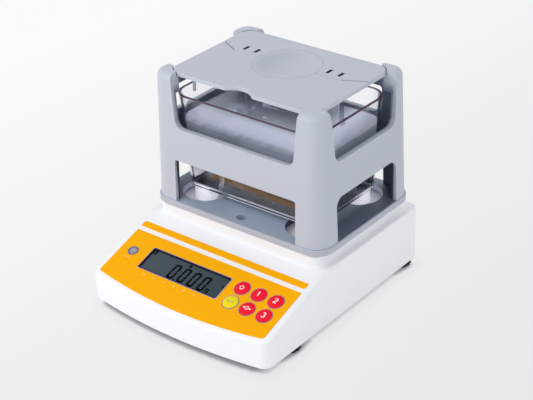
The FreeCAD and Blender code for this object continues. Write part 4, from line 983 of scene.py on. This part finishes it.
cup = add_piece("level_cup", lathe("level_cup", level_cup(), LEVEL_X, LEVEL_S), LEVEL_RIM,
                "level_ring")
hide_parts("level_ring")
liquid = add_piece("level_liquid", lathe("level_liquid", level_liquid(), LEVEL_X, LEVEL_S), LIQUID,
                   "level_vial")
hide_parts("level_vial")
add_piece("level_bubble", lathe("level_bubble", level_bubble(), LEVEL_X + BUBBLE_OFF[0],
                                LEVEL_S + BUBBLE_OFF[1]), BUBBLE, "level_vial")

# ---------------- water in the tank
WATER_GAP = 0.12         # water short of the wall
WATER_LOW = 80.2
WATER_EDGE_R = 3.5       # rounding where the floor meets the walls
CREEP_UP, CREEP_OUT = 0.9, 1.2  # how far the surface creeps up the wall, and how it fades
TO_MIDDLE = 60.0         # an inset past half the tank's depth, which closes an outline to a line


def water_levels():
    """(inset, height) of each outline: from the middle of the tank's floor out, round its edge,
    up the walls, and back over the surface to its middle. The surface creeps up the wall by
    CREEP_UP exp(-inset / CREEP_OUT)."""
    quarter = np.linspace(0, math.pi / 2, CORNER_STEPS)
    floor = [(TO_MIDDLE, WATER_LOW), (8.0, WATER_LOW)]
    edge = [(WATER_EDGE_R * (1 - math.sin(a)), WATER_LOW + WATER_EDGE_R * (1 - math.cos(a)))
            for a in quarter]
    walls = [(0.0, 100.0), (0.0, 120.0)]
    rim = [(inset, WATER_TOP + CREEP_UP * math.exp(-inset / CREEP_OUT))
           for inset in (0.0, 0.3, 0.8, 1.6, 3.0, 6.0)]
    return floor + edge + walls + rim + [(20.0, WATER_TOP), (TO_MIDDLE, WATER_TOP)]


def tank_inside(inset, z):
    """Outline of the water at a height, drawn in by inset: the tank's foot and rim blended by
    height, less the wall, and scaled by 1 - inset / half on each axis."""
    rise = (z - TANK_BOTTOM) / (TANK_TOP - TANK_BOTTOM)
    w, d, r = (foot + rise * (rim - foot) for foot, rim in zip(TANK_FOOT, TANK_RIM))
    wall = TANK_WALL + WATER_GAP
    outline = rounded_outline(w - 2 * wall, d - 2 * wall, r - wall)
    half = np.abs(outline).max(0)
    return outline * np.maximum(1 - inset / half, 0.0) + TANK_MID


water = stacked("tank_water", [(tank_inside(inset, z), z) for inset, z in water_levels()],
                lambda points: points * MM)
add_piece("tank_water", water, water_finish("water_painted_light"), "water_tank")


# ---------------- floor, light and camera
FLOOR_HALF = 6.0         # metres
SHADOW_REACH = 0.013     # metres, how near a thing is to darken the floor with the painted shadow
TONE_X, TONE_Y = 0.91 * MM, -0.12 * MM  # change of the floor's tone per mm
CONTACT_LINE = (0.62, 0.42)  # openness where the painted contact shadow begins and is full
CONTACT_RIGHT = (74.0, 81.0)  # between these it grows fainter, towards the right
CONTACT_SHARE, CONTACT_FADE, SOFT_SHARE = 0.85, 0.15, 0.15


def floor_finish():
    """Pale bench: matt white to the light, and to the eye a soft grey slope of tone with a painted
    shadow under the meter's edges, a little fainter at its right."""
    look = Look("bench_pale")
    x, y, _ = look.xyz()
    along = (x * TONE_X + y * TONE_Y + 0.5).at_least(0.0).at_most(1.0)
    tone = look.blend(along, shade(252, 252, 252), shade(223, 224, 225))
    openness = look.node("ShaderNodeAmbientOcclusion", {"samples": 32}, {"Distance": SHADOW_REACH},
                         out=1)
    right = look.ramp(x, *CONTACT_RIGHT)
    contact = look.ramp(openness + right * 0.07, *CONTACT_LINE)
    # painted shadow, from how open the floor is to things near it
    shadow = contact * (CONTACT_SHARE - right * CONTACT_FADE) + (1 - openness) * SOFT_SHARE
    seen_tone = look.blend(shadow, tone, shade(104, 104, 110))
    camera, glossy, through = (look.node("ShaderNodeLightPath", out=kind) for kind in
                               ("Is Camera Ray", "Is Glossy Ray", "Is Transmission Ray"))
    matt = look.node("ShaderNodeBsdfDiffuse", {}, {"Color": shade(243, 243, 243)})
    glow = look.node("ShaderNodeEmission", {}, {"Color": seen_tone, "Strength": 1.0})
    seen = camera.at_least(glossy).at_least(through)
    return look.finish(look.mix(seen, matt, look.mix(0.04, glow, matt)))


floor_mesh = bpy.data.meshes.new("bench")
floor_mesh.from_pydata([(-FLOOR_HALF, -FLOOR_HALF, 0), (FLOOR_HALF, -FLOOR_HALF, 0),
                        (FLOOR_HALF, FLOOR_HALF, 0), (-FLOOR_HALF, FLOOR_HALF, 0)], [],
                       [(0, 1, 2, 3)])
floor = bpy.data.objects.new("bench", floor_mesh)
bpy.context.scene.collection.objects.link(floor)
floor_mesh.materials.append(floor_finish())


SKY, SKY_STRENGTH = (0.95, 0.97, 1.0, 1.0), 0.74
BACKDROP = (0.95, 0.96, 0.955, 1.0)


def studio_world():
    """Pale even light from all round, and a paler backdrop where the camera looks past the
    floor."""
    world = bpy.data.worlds.new("studio")
    bpy.context.scene.world = world
    world.use_nodes = True
    nodes = world.node_tree.nodes
    light = nodes["Background"]
    light.inputs["Color"].default_value = SKY
    light.inputs["Strength"].default_value = SKY_STRENGTH
    backdrop = nodes.new("ShaderNodeBackground")
    backdrop.inputs["Color"].default_value = BACKDROP
    either = nodes.new("ShaderNodeMixShader")
    join = world.node_tree.links.new
    join(nodes.new("ShaderNodeLightPath").outputs["Is Camera Ray"], either.inputs[0])
    join(light.outputs[0], either.inputs[1])
    join(backdrop.outputs[0], either.inputs[2])
    join(either.outputs[0], nodes["World Output"].inputs["Surface"])


studio_world()

# lamps and camera: places, sizes and distances in metres
LAMP_AIM = Vector((0.0, 0.03, 0.08))
LAMP_DISTANCE = 1.6


def soft_lamp(name, direction, size, power):
    """Square lamp that faces the meter from a direction."""
    data = bpy.data.lights.new(name, "AREA")
    data.size = size
    data.energy = power
    lamp = bpy.data.objects.new(name, data)
    bpy.context.scene.collection.objects.link(lamp)
    towards = Vector(direction).normalized()
    lamp.location = LAMP_AIM + towards * LAMP_DISTANCE
    lamp.rotation_euler = towards.to_track_quat("Z", "Y").to_euler()


soft_lamp("key_lamp", (-0.48, -0.66, 0.56), size=0.9, power=7.4)
soft_lamp("low_lamp", (-0.35, -0.9, 0.22), size=1.0, power=2.0)
soft_lamp("right_lamp", (0.8, -0.15, 0.55), size=1.4, power=3.0)

VIEW_AZ, VIEW_EL, VIEW_ROLL = math.radians(39.077), math.radians(28.944), math.radians(-1.858)
VIEW_DISTANCE = 1.17146
VIEW_TARGET = Vector((-0.00577, 0.02383, 0.068))
SENSOR_MM = 36.0
LENS_MM = 95.83


def aim_camera():
    """Camera at VIEW_DISTANCE from VIEW_TARGET, round to the right of the front by VIEW_AZ, up
    by VIEW_EL and turned about its own axis by VIEW_ROLL."""
    back = Vector((math.sin(VIEW_AZ) * math.cos(VIEW_EL), -math.cos(VIEW_AZ) * math.cos(VIEW_EL),
                   math.sin(VIEW_EL)))
    right = (-back).cross(Vector((0, 0, 1))).normalized()
    up = back.cross(right)
    c, s = math.cos(VIEW_ROLL), math.sin(VIEW_ROLL)
    turned_right = right * c + up * s
    turned_up = up * c - right * s
    data = bpy.data.cameras.new("view")
    data.sensor_fit = "HORIZONTAL"
    data.sensor_width = SENSOR_MM
    data.lens = LENS_MM
    data.clip_end = 50.0
    camera = bpy.data.objects.new("view", data)
    bpy.context.scene.collection.objects.link(camera)
    turn = Matrix((turned_right, turned_up, back)).transposed().to_4x4()
    camera.matrix_world = Matrix.Translation(VIEW_TARGET + back * VIEW_DISTANCE) @ turn
    bpy.context.scene.camera = camera


aim_camera()
bpy.context.scene.view_settings.view_transform = "Standard"
